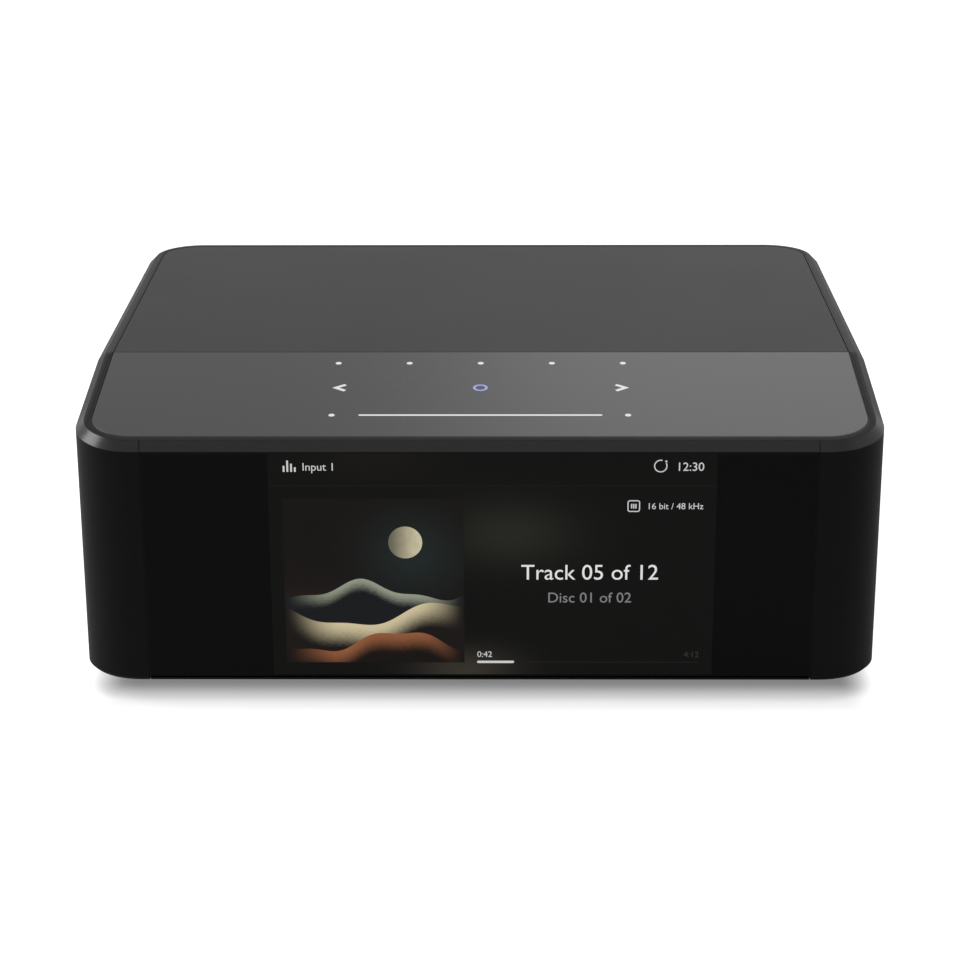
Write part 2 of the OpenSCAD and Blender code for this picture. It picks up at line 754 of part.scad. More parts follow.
module main_board() {
    color("#1d4d38") translate([0, 0, board_z]) linear_extrude(board_t) difference() {
        union() {
            translate([main_x0, main_y0]) square([main_x1 - main_x0, board_y1 - main_y0]);
            translate([main_x0, tongue_y0]) square([tongue_x1 - main_x0, main_y0 - tongue_y0 + 1]);
        }
        screw_holes(concat(spacer_at, main_screw_at));
    }
}

module audio_board() {
    color("#1d4d38") translate([0, 0, audio_z]) linear_extrude(board_t) difference() {
        translate([main_x0, audio_y0]) square([main_x1 - main_x0, board_y1 - audio_y0]);
        screw_holes(spacer_at);
    }
}

module psu_board() {
    color("#6b5a2e") translate([0, 0, board_z]) linear_extrude(board_t) difference() {
        translate([psu_x0, main_y0]) square([psu_x1 - psu_x0, board_y1 - main_y0]);
        screw_holes(psu_screw_at);
    }
}

module headphone_boards() {
    color("#1d4d38") for (side = [0, 1]) mirror([side, 0, 0]) translate([0, 0, board_z]) linear_extrude(board_t)
        difference() {
            translate([side_board_x0, headphone_pos - side_board_d / 2])
                square([side_board_l, side_board_d]);
            screw_holes([for (p = side_screw_at) [abs(p[0]), p[1]]]);
        }
}

// Headphone sockets, one through each side wall

module headphone_jacks() {
    nose = body_w / 2 - headphone_sink;
    color("#1c1c1e") for (side = [0, 1]) mirror([side, 0, 0]) translate([0, headphone_pos, headphone_z])
        difference() {
            union() {
                translate([in_w / 2 - headphone_body[0], -headphone_body[1] / 2, -headphone_body[2] / 2])
                    cube(headphone_body);
                translate([in_w / 2 - 1, 0, 0]) rotate([0, 90, 0])
                    cylinder(r = headphone_nose, h = nose - in_w / 2 + 1);
            }
            translate([nose - headphone_depth, 0, 0]) rotate([0, 90, 0])
                cylinder(r = headphone_r, h = headphone_depth + 1);
        }
}

// Rear panel and sockets

module rear_panel() {
    module hole(size) square([size[0] + 2 * socket_fit, size[1] + 2 * socket_fit], center = true);
    color("#1b1b1d") on_rear(0, rear_z) linear_extrude(rear_panel_t) difference() {
        rounded_rect(rear_w - 2 * fit, rear_h - 2 * fit, rear_r - fit);
        translate([inlet_x, inlet_z - rear_z]) hole(inlet_size);
        translate([lan_x, lan_z - rear_z]) hole(lan_size);
        translate([usb_a_x, usb_a_z - rear_z]) hole(usb_a_size);
        translate([usb_c_x, usb_c_z - rear_z])
            slot(usb_c_size[0] + 2 * socket_fit, usb_c_size[1] + 2 * socket_fit);
        translate([hdmi_x, hdmi_z - rear_z]) hole(hdmi_size);
        translate([optical_x, optical_z - rear_z]) hole(optical_size);
        for (p = rca_at) translate([p[0], p[1] - rear_z]) circle(rca_r + socket_fit);
        for (x = xlr_xs) translate([x, xlr_z - rear_z]) circle(xlr_r + socket_fit);
        for (p = mini_at) translate([p[0], p[1] - rear_z]) circle(mini_nose + socket_fit);
        for (x = rear_screw_xs, z = rear_screw_zs) translate([x, z - rear_z]) circle(screw_r + fit);
    }
}

// A block from the face of the panel inward, standing out by lip
module socket_block(size, lip) {
    translate([-size[0] / 2, -size[1] / 2, -lip]) cube([size[0], size[1], size[2] + lip]);
}

module power_inlet() {
    color("#161617") on_rear(inlet_x, inlet_z) difference() {
        union() {
            socket_block(inlet_size, 0);
            translate([0, 0, -inlet_flange[2]]) linear_extrude(inlet_flange[2])
                rounded_rect(inlet_flange[0], inlet_flange[1], 2);
        }
        translate([0, 0, -inlet_flange[2] - 1]) linear_extrude(inlet_depth + inlet_flange[2] + 1) {
            for (side = [-1, 1]) translate([side * inlet_bore, 0]) circle(inlet_bore);
            square([2 * inlet_bore, 1.7 * inlet_bore], center = true);
        }
    }
}

module inlet_pins() {
    color("silver") on_rear(inlet_x, inlet_z) for (side = [-1, 1]) translate([side * inlet_bore, 0, 2.5])
        cylinder(r = inlet_pin_r, h = inlet_depth - 2.5);
}

module lan_jack() {
    color("#b8bcc2") on_rear(lan_x, lan_z) difference() {
        socket_block(lan_size, proud);
        translate([-5.9, -4.4, -1]) cube([11.8, 7.4, lan_depth + 1]);
        translate([-3.2, 2.9, -1]) cube([6.4, 2.4, lan_depth + 1]);
    }
}

module usb_a_port() {
    color("#c4c7cb") on_rear(usb_a_x, usb_a_z) difference() {
        socket_block(usb_a_size, proud);
        translate([0, 0, -1]) linear_extrude(usb_a_depth + 1)
            square([usb_a_size[0] - 4 * skin, usb_a_size[1] - 4 * skin], center = true);
    }
}

module usb_c_port() {
    color("#c4c7cb") on_rear(usb_c_x, usb_c_z) difference() {
        translate([0, 0, -proud]) linear_extrude(usb_c_size[2] + proud) slot(usb_c_size[0], usb_c_size[1]);
        translate([0, 0, -1]) linear_extrude(usb_c_depth + 1)
            slot(usb_c_size[0] - 2 * skin, usb_c_size[1] - 2 * skin);
    }
}

// Video socket outline, narrower at the bottom
module hdmi_outline(grow) {
    w = hdmi_size[0] / 2 + grow;
    h = hdmi_size[1] / 2 + grow;
    polygon([[-w, h], [w, h], [w, -h / 4], [w - h / 2, -h], [h / 2 - w, -h], [-w, -h / 4]]);
}

module hdmi_port() {
    color("#c4c7cb") on_rear(hdmi_x, hdmi_z) difference() {
        translate([0, 0, -proud]) linear_extrude(hdmi_size[2] + proud) hdmi_outline(0);
        translate([0, 0, -1]) linear_extrude(hdmi_depth + 1) hdmi_outline(-1.5 * skin);
    }
}

// Contact tongues inside the USB and video sockets, seated on the back wall
module socket_tongues() {
    color("#202124") {
        on_rear(usb_a_x, usb_a_z) translate([-5.6, 0.3, 1]) cube([11.2, 1.9, usb_a_depth - 1]);
        on_rear(usb_c_x, usb_c_z) translate([-3.35, -0.35, 0.6]) cube([6.7, 0.7, usb_c_depth - 0.6]);
        on_rear(hdmi_x, hdmi_z) translate([-5, -0.3, 0.8]) cube([10, 1, hdmi_depth - 0.8]);
    }
}

module optical_jack() {
    half = optical_mouth / 2;
    color("#1a1a1c") on_rear(optical_x, optical_z) difference() {
        socket_block(optical_size, proud);
        translate([-half, -half, -1]) cube([optical_mouth, optical_mouth, optical_depth + 1]);
        translate([-half, half - 0.1, 0]) cube([optical_mouth, hinge_dz - half + 1, optical_depth]);
        translate([-half - 1, hinge_dz, hinge_in]) rotate([0, 90, 0])
            cylinder(r = hinge_r + hinge_fit, h = optical_mouth + 2);
    }
}

// Sprung flap that hangs from a pin across the top of the optical socket's mouth
module optical_shutter() {
    half = optical_mouth / 2 - flap_play;
    barrel_r = hinge_r + 0.2;
    color("#2a2a2d") on_rear(optical_x, optical_z) {
        translate([-half, -half, hinge_in - flap_t / 2]) cube([2 * half, half + hinge_dz, flap_t]);
        translate([-half, hinge_dz, hinge_in]) rotate([0, 90, 0]) cylinder(r = barrel_r, h = 2 * half);
        translate([-half - hinge_pin, hinge_dz, hinge_in]) rotate([0, 90, 0])
            cylinder(r = hinge_r, h = 2 * (half + hinge_pin));
    }
}

module rca_shells() {
    color("#c8a552") for (p = rca_at) on_rear(p[0], p[1]) rotate_extrude()
        polygon([[rca_r - rca_skin, -socket_reach], [rca_r - 0.3, -socket_reach], [rca_r, 0.3 - socket_reach],
            [rca_r, -rca_collar[1]], [rca_collar[0], -rca_collar[1]], [rca_collar[0], 0],
            [rca_r - rca_skin, 0]]);
}

module rca_cores() {
    core_r = rca_r - rca_skin;
    color("#e6e3da") for (p = rca_at) on_rear(p[0], p[1]) difference() {
        union() {
            translate([0, 0, 0.8 - socket_reach]) cylinder(r = core_r, h = socket_reach + rear_panel_t);
            translate([-rca_block[0] / 2, -rca_lift, rear_panel_t]) cube(rca_block);
        }
        translate([0, 0, -socket_reach]) cylinder(r = rca_hole_r, h = socket_reach + 6);
    }
}

module xlr_housings() {
    color("#17171a") for (x = xlr_xs) on_rear(x, xlr_z) difference() {
        union() {
            translate([0, 0, -xlr_plate[2]]) linear_extrude(xlr_plate[2])
                rounded_rect(xlr_plate[0], xlr_plate[1], 3);
            cylinder(r = xlr_r, h = xlr_depth + 3);
            translate([-xlr_r, -xlr_lift, rear_panel_t + 0.5]) cube([2 * xlr_r, xlr_lift, xlr_depth]);
        }
        translate([0, 0, -xlr_plate[2] - 1]) cylinder(r = xlr_bore, h = xlr_depth + xlr_plate[2] + 1);
    }
}

module xlr_pins() {
    color("#d8d9db") for (x = xlr_xs, turn = [-45, 90, 225]) on_rear(x, xlr_z) rotate(turn)
        translate([xlr_pin_ring, 0, 1.5]) cylinder(r = xlr_pin_r, h = xlr_depth - 1.5);
}

module mini_jacks() {
    color("#1a1a1c") for (p = mini_at) on_rear(p[0], p[1]) difference() {
        union() {
            translate([0, 0, -proud]) cylinder(r = mini_nose, h = rear_panel_t + proud + 1);
            translate([-mini_size[0] / 2, -mini_lift, rear_panel_t + 0.3]) cube(mini_size);
        }
        translate([0, 0, -1]) cylinder(r = mini_bore, h = mini_size[2] + 1);
    }
}

// What stands on the boards

// A box with its foot at a place on a board
module chip(place, z, size) {
    translate([place[0] - size[0] / 2, place[1] - size[1] / 2, z]) cube(size);
}

// A round capacitor with a rolled groove near its foot
module capacitor(place, z, size) {
    r = size[0];
    h = size[1];
    translate([place[0], place[1], z]) rotate_extrude()
        polygon([[0, 0], [r, 0], [r, 1.2], [r - 0.5, 1.8], [r, 2.4], [r, h - 0.6], [r - 0.6, h], [0, h]]);
}

module processor() {
    color("#26282c") chip(processor_at, board_top, processor_size);
}

module heat_sink() {
    step = (sink_side - sink_fin[0]) / (sink_fins - 1);
    z = board_top + processor_size[2];
    color("#303236") {
        chip(processor_at, z, [sink_side, sink_side, sink_plate]);
        for (i = [0 : sink_fins - 1])
            chip([processor_at[0] + (i - (sink_fins - 1) / 2) * step, processor_at[1]],
                z + sink_plate, sink_fin);
    }
}

module memory_chips() {
    color("#1c1d20") for (dx = [32, 44])
        chip([processor_at[0] + dx, processor_at[1]], board_top, memory_size);
}

module wifi_module() {
    place = [main_x1 - wifi_size[0] / 2 - edge_in + 0.5, main_y0 + wifi_size[1] - 2];
    color("#c7cacd") chip(place, board_top, wifi_size);
}

module wifi_antennas() {
    z = body_h - recess_t - antenna_size[2];
    color("#31583f") for (side = [-1, 1])
        translate([side * body_w / 4 - antenna_size[0] / 2, mid_y + body_d / 4, z]) cube(antenna_size);
}

module dac_chips() {
    color("#1c1d20") for (dx = [34, 84]) chip([main_x0 + dx, audio_y0 + 28], audio_top, dac_size);
}

module audio_capacitors() {
    color("#7d6a2c") for (i = [0 : 7]) capacitor([main_x0 + 20 + 14 * i, audio_y0 + 12], audio_top, audio_cap);
}

module board_header() {
    color("#222326") translate([main_x0 + header_size[0], audio_y0 + 3, board_top])
        cube([header_size[0], header_size[1], spacer_h]);
}

module psu_transformer() {
    place = [psu_x1 - coil_core[0] / 2 - 1, coil_y];
    color("#b08d2e") {
        chip(place, board_top, coil_core);
        chip(place, board_top, coil_bobbin);
    }
}

module psu_choke() {
    color("#a9632c") translate([psu_mid_x, choke_y, board_top + choke_wire])
        rotate_extrude() translate([choke_ring, 0]) circle(choke_wire);
}

module bulk_capacitor() {
    color("#20242c") capacitor([psu_mid_x, bulk_y], board_top, bulk_cap);
}

module output_capacitors() {
    color("#20242c") for (i = [0 : 2])
        capacitor([psu_x0 + 2 * output_cap[0], main_y0 + 12 + output_pitch * i], board_top, output_cap);
}

// Ribbons and leads

module lcd_ribbon() {
    width = 24;
    thick = 0.3;
    start_y = front_y + glass_t + lcd_t;
    end_y = tongue_y0 + 8;
    color("#c9cbd0") translate([display_x - width / 2, start_y, board_top]) {
        cube([width, end_y - start_y, thick]);
        translate([-1, end_y - start_y - 4, thick]) cube([width + 2, 5, 2]);
    }
}

module touch_ribbon() {
    ribbon = [18, 0.3];
    color("#c9cbd0") intersection() {
        union() {
            translate([main_x0 + 68, main_y0 - 4, board_top]) cube([ribbon[0], ribbon[1], body_h]);
            translate([main_x0 + 67, main_y0 - 8, board_top]) cube([ribbon[0] + 2, 4, 4]);
        }
        on_slope() translate([-big / 2, -big / 2, -touch_under - big]) cube(big);
    }
}

// A short lead along X between a plug on each of two boards
module lead(x0, x1, y, wires) {
    plug = [lead_plug[0], lead_pitch * wires + lead_plug[1], lead_plug[2]];
    for (x = [x0 - plug[0], x1]) translate([x, y - plug[1] / 2, board_top]) cube(plug);
    for (i = [0 : wires - 1]) translate([x0, y + lead_pitch * (i - (wires - 1) / 2), board_top + 3.5])
        rotate([0, 90, 0]) cylinder(r = wire_r, h = x1 - x0);
}

module power_harness() {
    color("#d9d4c4") lead(psu_x1 - 2, main_x0 + 2, main_y0 + 14.5, 5);
}

module headphone_leads() {
    color("#d9d4c4") {
        lead(-side_board_x0 - 1, main_x0 + 2, headphone_pos, 2);
        lead(tongue_x1 - 2, side_board_x0 + 1, headphone_pos, 2);
    }
}

side_shell();
front_bezel();
front_glass();
glass_tape();
lcd_module();
lcd_foam();
lcd_bracket();
rear_top_cover();
touch_panel();
touch_tape();
light_guide();
touch_board();
touch_leds();
base_plate();
rear_panel();
foot_bodies();
foot_pads();
foot_screws();
base_screws();
rear_screws();
front_screws();
bracket_screws();
standoffs();
board_spacers();
board_screws();
main_board();
audio_board();
psu_board();
headphone_boards();
headphone_jacks();
power_inlet();
inlet_pins();
lan_jack();
usb_a_port();
usb_c_port();
hdmi_port();
socket_tongues();
optical_jack();
optical_shutter();
rca_shells();
rca_cores();
xlr_housings();
xlr_pins();
mini_jacks();
processor();
heat_sink();
memory_chips();
wifi_module();
wifi_antennas();
dac_chips();
audio_capacitors();
board_header();
psu_transformer();
psu_choke();
bulk_capacitor();
output_capacitors();
lcd_ribbon();
touch_ribbon();
power_harness();
headphone_leads();
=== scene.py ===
import math

import bmesh
import bpy
from mathutils import Matrix, Vector


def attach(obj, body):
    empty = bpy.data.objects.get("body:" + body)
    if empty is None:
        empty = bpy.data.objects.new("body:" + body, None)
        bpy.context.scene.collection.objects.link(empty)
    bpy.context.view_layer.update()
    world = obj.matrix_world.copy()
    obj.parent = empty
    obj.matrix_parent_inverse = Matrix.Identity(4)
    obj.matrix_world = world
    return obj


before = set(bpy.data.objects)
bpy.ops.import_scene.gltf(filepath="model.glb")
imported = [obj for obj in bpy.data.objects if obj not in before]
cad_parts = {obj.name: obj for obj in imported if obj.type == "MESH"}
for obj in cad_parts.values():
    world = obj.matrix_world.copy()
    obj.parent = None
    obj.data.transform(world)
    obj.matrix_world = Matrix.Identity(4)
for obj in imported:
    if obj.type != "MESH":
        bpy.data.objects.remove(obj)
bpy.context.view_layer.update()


# Base plate: flat sheet steel punched with two banks of vent slots, coated in fine black powder
# paint that dries to an even peel, and screwed up into bosses in the housing.

class Wire:
    """A socket in a node tree. Plain arithmetic on it adds Math nodes."""

    def __init__(self, tree, socket=None):
        self.tree, self.socket = tree, socket

    def add(self, kind, settings, sockets, out=0):
        """Adds one node: its settings first, then the values or links of its sockets."""
        node = self.tree.nodes.new(kind)
        for key, value in settings.items():
            setattr(node, key, value)
        for key, value in sockets.items():
            if isinstance(value, Wire):
                self.tree.links.new(value.socket, node.inputs[key])
            else:
                node.inputs[key].default_value = value
        return Wire(self.tree, None if out is None else node.outputs[out])

    def maths(self, operation, first, second):
        return self.add("ShaderNodeMath", {"operation": operation}, {0: first, 1: second})

    def __add__(self, other):
        return self.maths("ADD", self, other)

    def __radd__(self, other):
        return self.maths("ADD", other, self)

    def __sub__(self, other):
        return self.maths("SUBTRACT", self, other)

    def __rsub__(self, other):
        return self.maths("SUBTRACT", other, self)

    def __mul__(self, other):
        return self.maths("MULTIPLY", self, other)

    def __rmul__(self, other):
        return self.maths("MULTIPLY", other, self)

    def __rpow__(self, other):
        return self.maths("POWER", other, self)


def tone(code):
    """A colour written as sRGB hex, in the linear values that sockets take."""
    parts = [int(code[i:i + 2], 16) / 255 for i in (1, 3, 5)]
    return [c / 12.92 if c <= 0.04045 else ((c + 0.055) / 1.055) ** 2.4 for c in parts] + [1]


def grain(place, scale, detail=2.0, stretch=None):
    """Noise from 0 to 1 with this many cells to a metre, drawn out along an axis if wanted."""
    if stretch:
        place = place.add("ShaderNodeMapping", {}, {"Vector": place, "Scale": stretch})
    return place.add("ShaderNodeTexNoise", {}, {"Vector": place, "Scale": scale, "Detail": detail}, "Fac")


def mixed(factor, first, second):
    """A colour between two others."""
    return factor.add("ShaderNodeMix", {"data_type": "RGBA"}, {0: factor, 6: first, 7: second}, 2)


def eased(value, low, high):
    """0 below low, 1 above high and a smooth step between."""
    return value.add("ShaderNodeMapRange", {"interpolation_type": "SMOOTHSTEP"}, {0: value, 1: low, 2: high})


def relief(height, strength, depth):
    """A surface normal from a height."""
    sockets = {"Height": height, "Strength": strength, "Distance": depth}
    return height.add("ShaderNodeBump", {}, sockets, "Normal")


def along(place, axis):
    """One coordinate of a place."""
    return place.add("ShaderNodeSeparateXYZ", {}, {"Vector": place}, axis)


def finish(name, look):
    """A material whose shader inputs are what look makes of the Object coordinates."""
    material = bpy.data.materials.new(name)
    material.use_nodes = True
    tree = material.node_tree
    tree.nodes.clear()
    place = Wire(tree).add("ShaderNodeTexCoord", {}, {}, "Object")
    shader = place.add("ShaderNodeBsdfPrincipled", {}, look(place), "BSDF")
    place.add("ShaderNodeOutputMaterial", {}, {"Surface": shader}, None)
    return material


def dress(material, *nodes):
    """Gives CAD nodes a finish."""
    for node in nodes:
        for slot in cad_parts[node].material_slots:
            slot.material = material


def powder_paint(place):
    peel, fleck, cloud = grain(place, 1500, 3), grain(place, 5200, 1), grain(place, 25)
    return {
        "Base Color": mixed(cloud * 0.7 + fleck * 0.3, tone("#19191b"), tone("#262629")),
        "Roughness": 0.5 + 0.12 * fleck + 0.08 * cloud,
        "Specular IOR Level": 0.3,
        "Normal": relief(peel + 0.4 * fleck, 0.35, 0.00008),
    }


black_paint = finish("black_powder_paint", powder_paint)
dress(black_paint, "base_plate")


# Base screws: hex-socket machine screws in black oxide, rubbed a little brighter in places.
# The same kind holds the rear panel.

def black_oxide(place):
    rub, bloom = grain(place, 900, 4), grain(place, 120)
    return {
        "Base Color": mixed(rub * bloom, tone("#222225"), tone("#77777c")),
        "Metallic": 0.75,
        "Roughness": 0.36 + 0.2 * bloom,
        "Normal": relief(rub, 0.2, 0.00003),
    }


oxide = finish("black_oxide", black_oxide)
dress(oxide, "base_screws", "rear_screws")


# Feet: moulded cups with a coned side, each held by a screw up its middle, with a ring of
# soft rubber pressed into the sole.

def moulded(dark, light, rough, gloss):
    """Spark-textured moulded plastic: a fine even grain, a cloudy gloss and a little drift in colour."""
    def look(place):
        fine, cloud = grain(place, 4200, 2), grain(place, 22, 3)
        return {
            "Base Color": mixed(cloud * 0.6 + fine * 0.4, tone(dark), tone(light)),
            "Roughness": rough - 0.06 + 0.08 * fine + 0.06 * cloud,
            "Specular IOR Level": gloss,
            "Normal": relief(fine, 0.3, 0.00003),
        }
    return look


def rubber(place):
    dust, pores = grain(place, 160, 4), grain(place, 2600, 2)
    return {
        "Base Color": mixed(eased(dust, 0.45, 0.8), tone("#0f0f10"), tone("#232221")),
        "Roughness": 0.78 + 0.15 * dust,
        "Specular IOR Level": 0.2,
        "Normal": relief(pores, 0.5, 0.00008),
    }


def plated(light, dark, rough):
    """Bright plated metal: long brush marks and a mottled bloom."""
    def look(place):
        brush, bloom = grain(place, 2200, 3, (1, 0.06, 1)), grain(place, 70, 3)
        return {
            "Base Color": mixed(bloom * 0.7 + brush * 0.3, tone(dark), tone(light)),
            "Metallic": 1.0,
            "Roughness": rough + 0.1 * bloom + 0.08 * brush,
            "Normal": relief(brush, 0.12, 0.00002),
        }
    return look


dress(finish("foot_plastic", moulded("#141415", "#1e1e20", 0.55, 0.3)), "foot_bodies")
dress(finish("foot_rubber", rubber), "foot_pads")
zinc = finish("zinc_plate", plated("#d4d6da", "#a3a6ab", 0.24))
dress(zinc, "foot_screws")


# Pillars: turned hexagon brass, tapped at the top. Short ones stand on the base under the lower
# boards, and long ones, with a stud at the foot, stand between the two stacked boards.

def turned_brass(place):
    turning, stain = grain(place, 1800, 2, (0.1, 0.1, 1)), grain(place, 60, 3)
    return {
        "Base Color": mixed(stain, tone("#d9b263"), tone("#a87f38")),
        "Metallic": 1.0,
        "Roughness": 0.22 + 0.14 * stain + 0.06 * turning,
        "Normal": relief(turning, 0.2, 0.00003),
    }


dress(finish("turned_brass", turned_brass), "standoffs", "board_spacers")


# Circuit boards: glass-fibre laminate under green solder mask, with copper tracks showing through
# as paler raised lines, and brown paper laminate for the power supply. The radio's antennas are
# strips of the green kind. Plated screws hold the boards on their pillars.

def solder_mask(dark, light):
    """Tracks that run slantwise round scattered points, under a glossy mask."""
    def look(place):
        cells = place.add("ShaderNodeTexVoronoi", {"distance": "MANHATTAN", "feature": "F1"},
                          {"Vector": place, "Scale": 190}, "Distance")
        lines = place.add("ShaderNodeMath", {"operation": "PINGPONG"}, {0: cells, 1: 0.09})
        track, weave = eased(lines, 0.05, 0.06), grain(place, 1300, 1)
        return {
            "Base Color": mixed(track, tone(dark), tone(light)),
            "Roughness": 0.3 + 0.1 * weave + 0.08 * track,
            "Normal": relief(track + 0.2 * weave, 0.3, 0.00003),
        }
    return look


green_board = finish("green_board", solder_mask("#0c3020", "#1c5a3c"))
dress(green_board, "main_board", "audio_board", "headphone_boards", "wifi_antennas")
dress(finish("brown_board", solder_mask("#6d5226", "#86682f")), "psu_board")
dress(zinc, "board_screws")


# Chips, heat sink, radio and header: black moulded epoxy soldered to the boards, an anodised
# extrusion over the processor, a radio under a steel can, and a black connector body that joins
# the stacked boards.

def anodised(place):
    draw, cloud = grain(place, 1500, 2, (1, 0.05, 1)), grain(place, 40)
    return {
        "Base Color": mixed(cloud, tone("#1b1c1f"), tone("#2b2c30")),
        "Metallic": 0.7,
        "Roughness": 0.42 + 0.12 * draw,
        "Normal": relief(draw, 0.25, 0.00004),
    }


chip_epoxy = finish("chip_epoxy", moulded("#17181a", "#222326", 0.6, 0.35))
dress(chip_epoxy, "processor", "memory_chips", "dac_chips")
dress(finish("anodised_black", anodised), "heat_sink")
shield_steel = finish("shield_steel", plated("#c9ccd0", "#9b9ea3", 0.3))
dress(shield_steel, "wifi_module")
black_nylon = finish("black_nylon", moulded("#141416", "#1f1f21", 0.5, 0.35))
dress(black_nylon, "board_header")


# Power supply: a transformer and a choke ring wound in varnished copper wire, and electrolytic
# capacitors in dark shrunk sleeves. The audio board carries such capacitors too, most of them paler.

def winding(place):
    turns = place.add("ShaderNodeTexWave", {"bands_direction": "Z"}, {"Vector": place, "Scale": 260}, "Fac")
    varnish = grain(place, 300, 3)
    return {
        "Base Color": mixed(turns * 0.6 + varnish * 0.4, tone("#6f4016"), tone("#c08a35")),
        "Roughness": 0.35 + 0.2 * varnish,
        "Normal": relief(turns, 0.5, 0.0001),
    }


def sleeve(place):
    paler = eased(along(place, "X") * 40 + grain(place, 30), 0.2, 0.24)
    shrink = grain(place, 500, 3)
    return {
        "Base Color": mixed(paler * 0.15, tone("#1d222d"), tone("#9aa0ac")),
        "Roughness": 0.3 + 0.15 * shrink,
        "Normal": relief(shrink, 0.15, 0.00005),
    }


dress(finish("varnished_winding", winding), "psu_transformer", "psu_choke")
dress(finish("capacitor_sleeve", sleeve), "bulk_capacitor", "output_capacitors", "audio_capacitors")


# Ribbons and leads: flat white cable with its wires showing as ribs, and insulated wire between
# nylon plugs, pushed into place on the boards.

def ribbed_cable(place):
    ribs = place.add("ShaderNodeTexWave", {"bands_direction": "X"}, {"Vector": place, "Scale": 320}, "Fac")
    soil = grain(place, 90, 3)
    return {
        "Base Color": mixed(ribs * 0.5 + soil * 0.5, tone("#aeb0b4"), tone("#dcdcda")),
        "Roughness": 0.45 + 0.15 * soil,
        "Normal": relief(ribs, 0.4, 0.00008),
    }


dress(finish("ribbed_cable", ribbed_cable), "lcd_ribbon", "touch_ribbon", "power_harness", "headphone_leads")


# Rear panel: a flat steel plate in the same powder paint, punched for the sockets, set a little into
# the housing and screwed to its flanges. The outlines of the socket groups and plain numbers are
# printed on it in white ink.

MM = 0.001
REAR_FACE = 0.088
BACK = Matrix(((-MM, 0, 0, 0), (0, 0, MM, REAR_FACE), (0, MM, 0, 0), (0, 0, 0, 1)))
INK = (-0.01, 0.02)
FIGURE_SHARE = 0.72


def settle(name, mesh, material):
    """Makes a finished piece of a mesh whose points are already in place."""
    work = bmesh.new()
    work.from_mesh(mesh)
    bmesh.ops.remove_doubles(work, verts=work.verts, dist=1e-7)
    bmesh.ops.recalc_face_normals(work, faces=work.faces[:])
    work.to_mesh(mesh)
    work.free()
    mesh.shade_smooth()
    mesh.set_sharp_from_angle(angle=math.radians(35))
    mesh.materials.clear()
    mesh.materials.append(material)
    piece = bpy.data.objects.new(name, mesh)
    bpy.context.scene.collection.objects.link(piece)
    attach(piece, "housing")


def inlay(name, outlines, plane, layer, material):
    """A thin layer on a plane: outlines in millimetres, filled, between two heights over the plane."""
    low, high = layer
    work = bmesh.new()
    for outline in outlines:
        work.faces.new([work.verts.new((x, y, low)) for x, y in outline])
    bmesh.ops.remove_doubles(work, verts=work.verts, dist=1e-4)
    raised = bmesh.ops.extrude_face_region(work, geom=work.faces[:], use_keep_orig=True)["geom"]
    corners = [part for part in raised if isinstance(part, bmesh.types.BMVert)]
    bmesh.ops.translate(work, vec=(0, 0, high - low), verts=corners)
    bmesh.ops.triangulate(work, faces=work.faces[:])
    mesh = bpy.data.meshes.new(name)
    work.to_mesh(mesh)
    work.free()
    mesh.transform(plane)
    settle(name, mesh, material)


def words(name, lines, plane, layer, material):
    """Lettering on a plane: each line is its text, the height of its figures, a place and an alignment."""
    low, high = layer
    work = bmesh.new()
    for text, height, x, y, align in lines:
        curve = bpy.data.curves.new(name, "FONT")
        curve.body, curve.align_x, curve.fill_mode = text, align, "BOTH"
        curve.size, curve.extrude, curve.resolution_u = height / FIGURE_SHARE, (high - low) / 2, 4
        holder = bpy.data.objects.new(name, curve)
        bpy.context.scene.collection.objects.link(holder)
        mesh = bpy.data.meshes.new_from_object(holder.evaluated_get(bpy.context.evaluated_depsgraph_get()))
        bpy.data.objects.remove(holder)
        mesh.transform(Matrix.Translation((x, y, (low + high) / 2)))
        work.from_mesh(mesh)
    mesh = bpy.data.meshes.new(name)
    work.to_mesh(mesh)
    work.free()
    mesh.transform(plane)
    settle(name, mesh, material)


def arc(x, y, r, start, end, count):
    """Points on a circle, angles in degrees."""
    turns = [math.radians(start + (end - start) * i / (count - 1)) for i in range(count)]
    return [(x + r * math.cos(t), y + r * math.sin(t)) for t in turns]


def disc(x, y, r, count=40):
    return arc(x, y, r, 0, 360 - 360 / count, count)


def rounded(x0, y0, x1, y1, r):
    """A rectangle with round corners."""
    corners = ((x1 - r, y1 - r, 0), (x0 + r, y1 - r, 90), (x0 + r, y0 + r, 180), (x1 - r, y0 + r, 270))
    return [p for x, y, turn in corners for p in arc(x, y, r, turn, turn + 90, 7)]


def band(inner, outer, closed=True):
    """Quads between two lines that have as many points."""
    count = len(inner)
    return [[inner[i], outer[i], outer[(i + 1) % count], inner[(i + 1) % count]]
            for i in range(count if closed else count - 1)]


def edging(x0, y0, x1, y1, r, line):
    """The outline of a rounded rectangle, as a line of this width."""
    return band(rounded(x0 + line, y0 + line, x1 - line, y1 - line, r - line), rounded(x0, y0, x1, y1, r))


def screen_ink(place):
    wear, edge = grain(place, 420, 4), grain(place, 3000, 1)
    return {
        "Base Color": mixed(eased(wear, 0.35, 0.75), tone("#d2d2d0"), tone("#a8a8a6")),
        "Roughness": 0.55 + 0.2 * edge,
        "Normal": relief(edge, 0.2, 0.00001),
    }


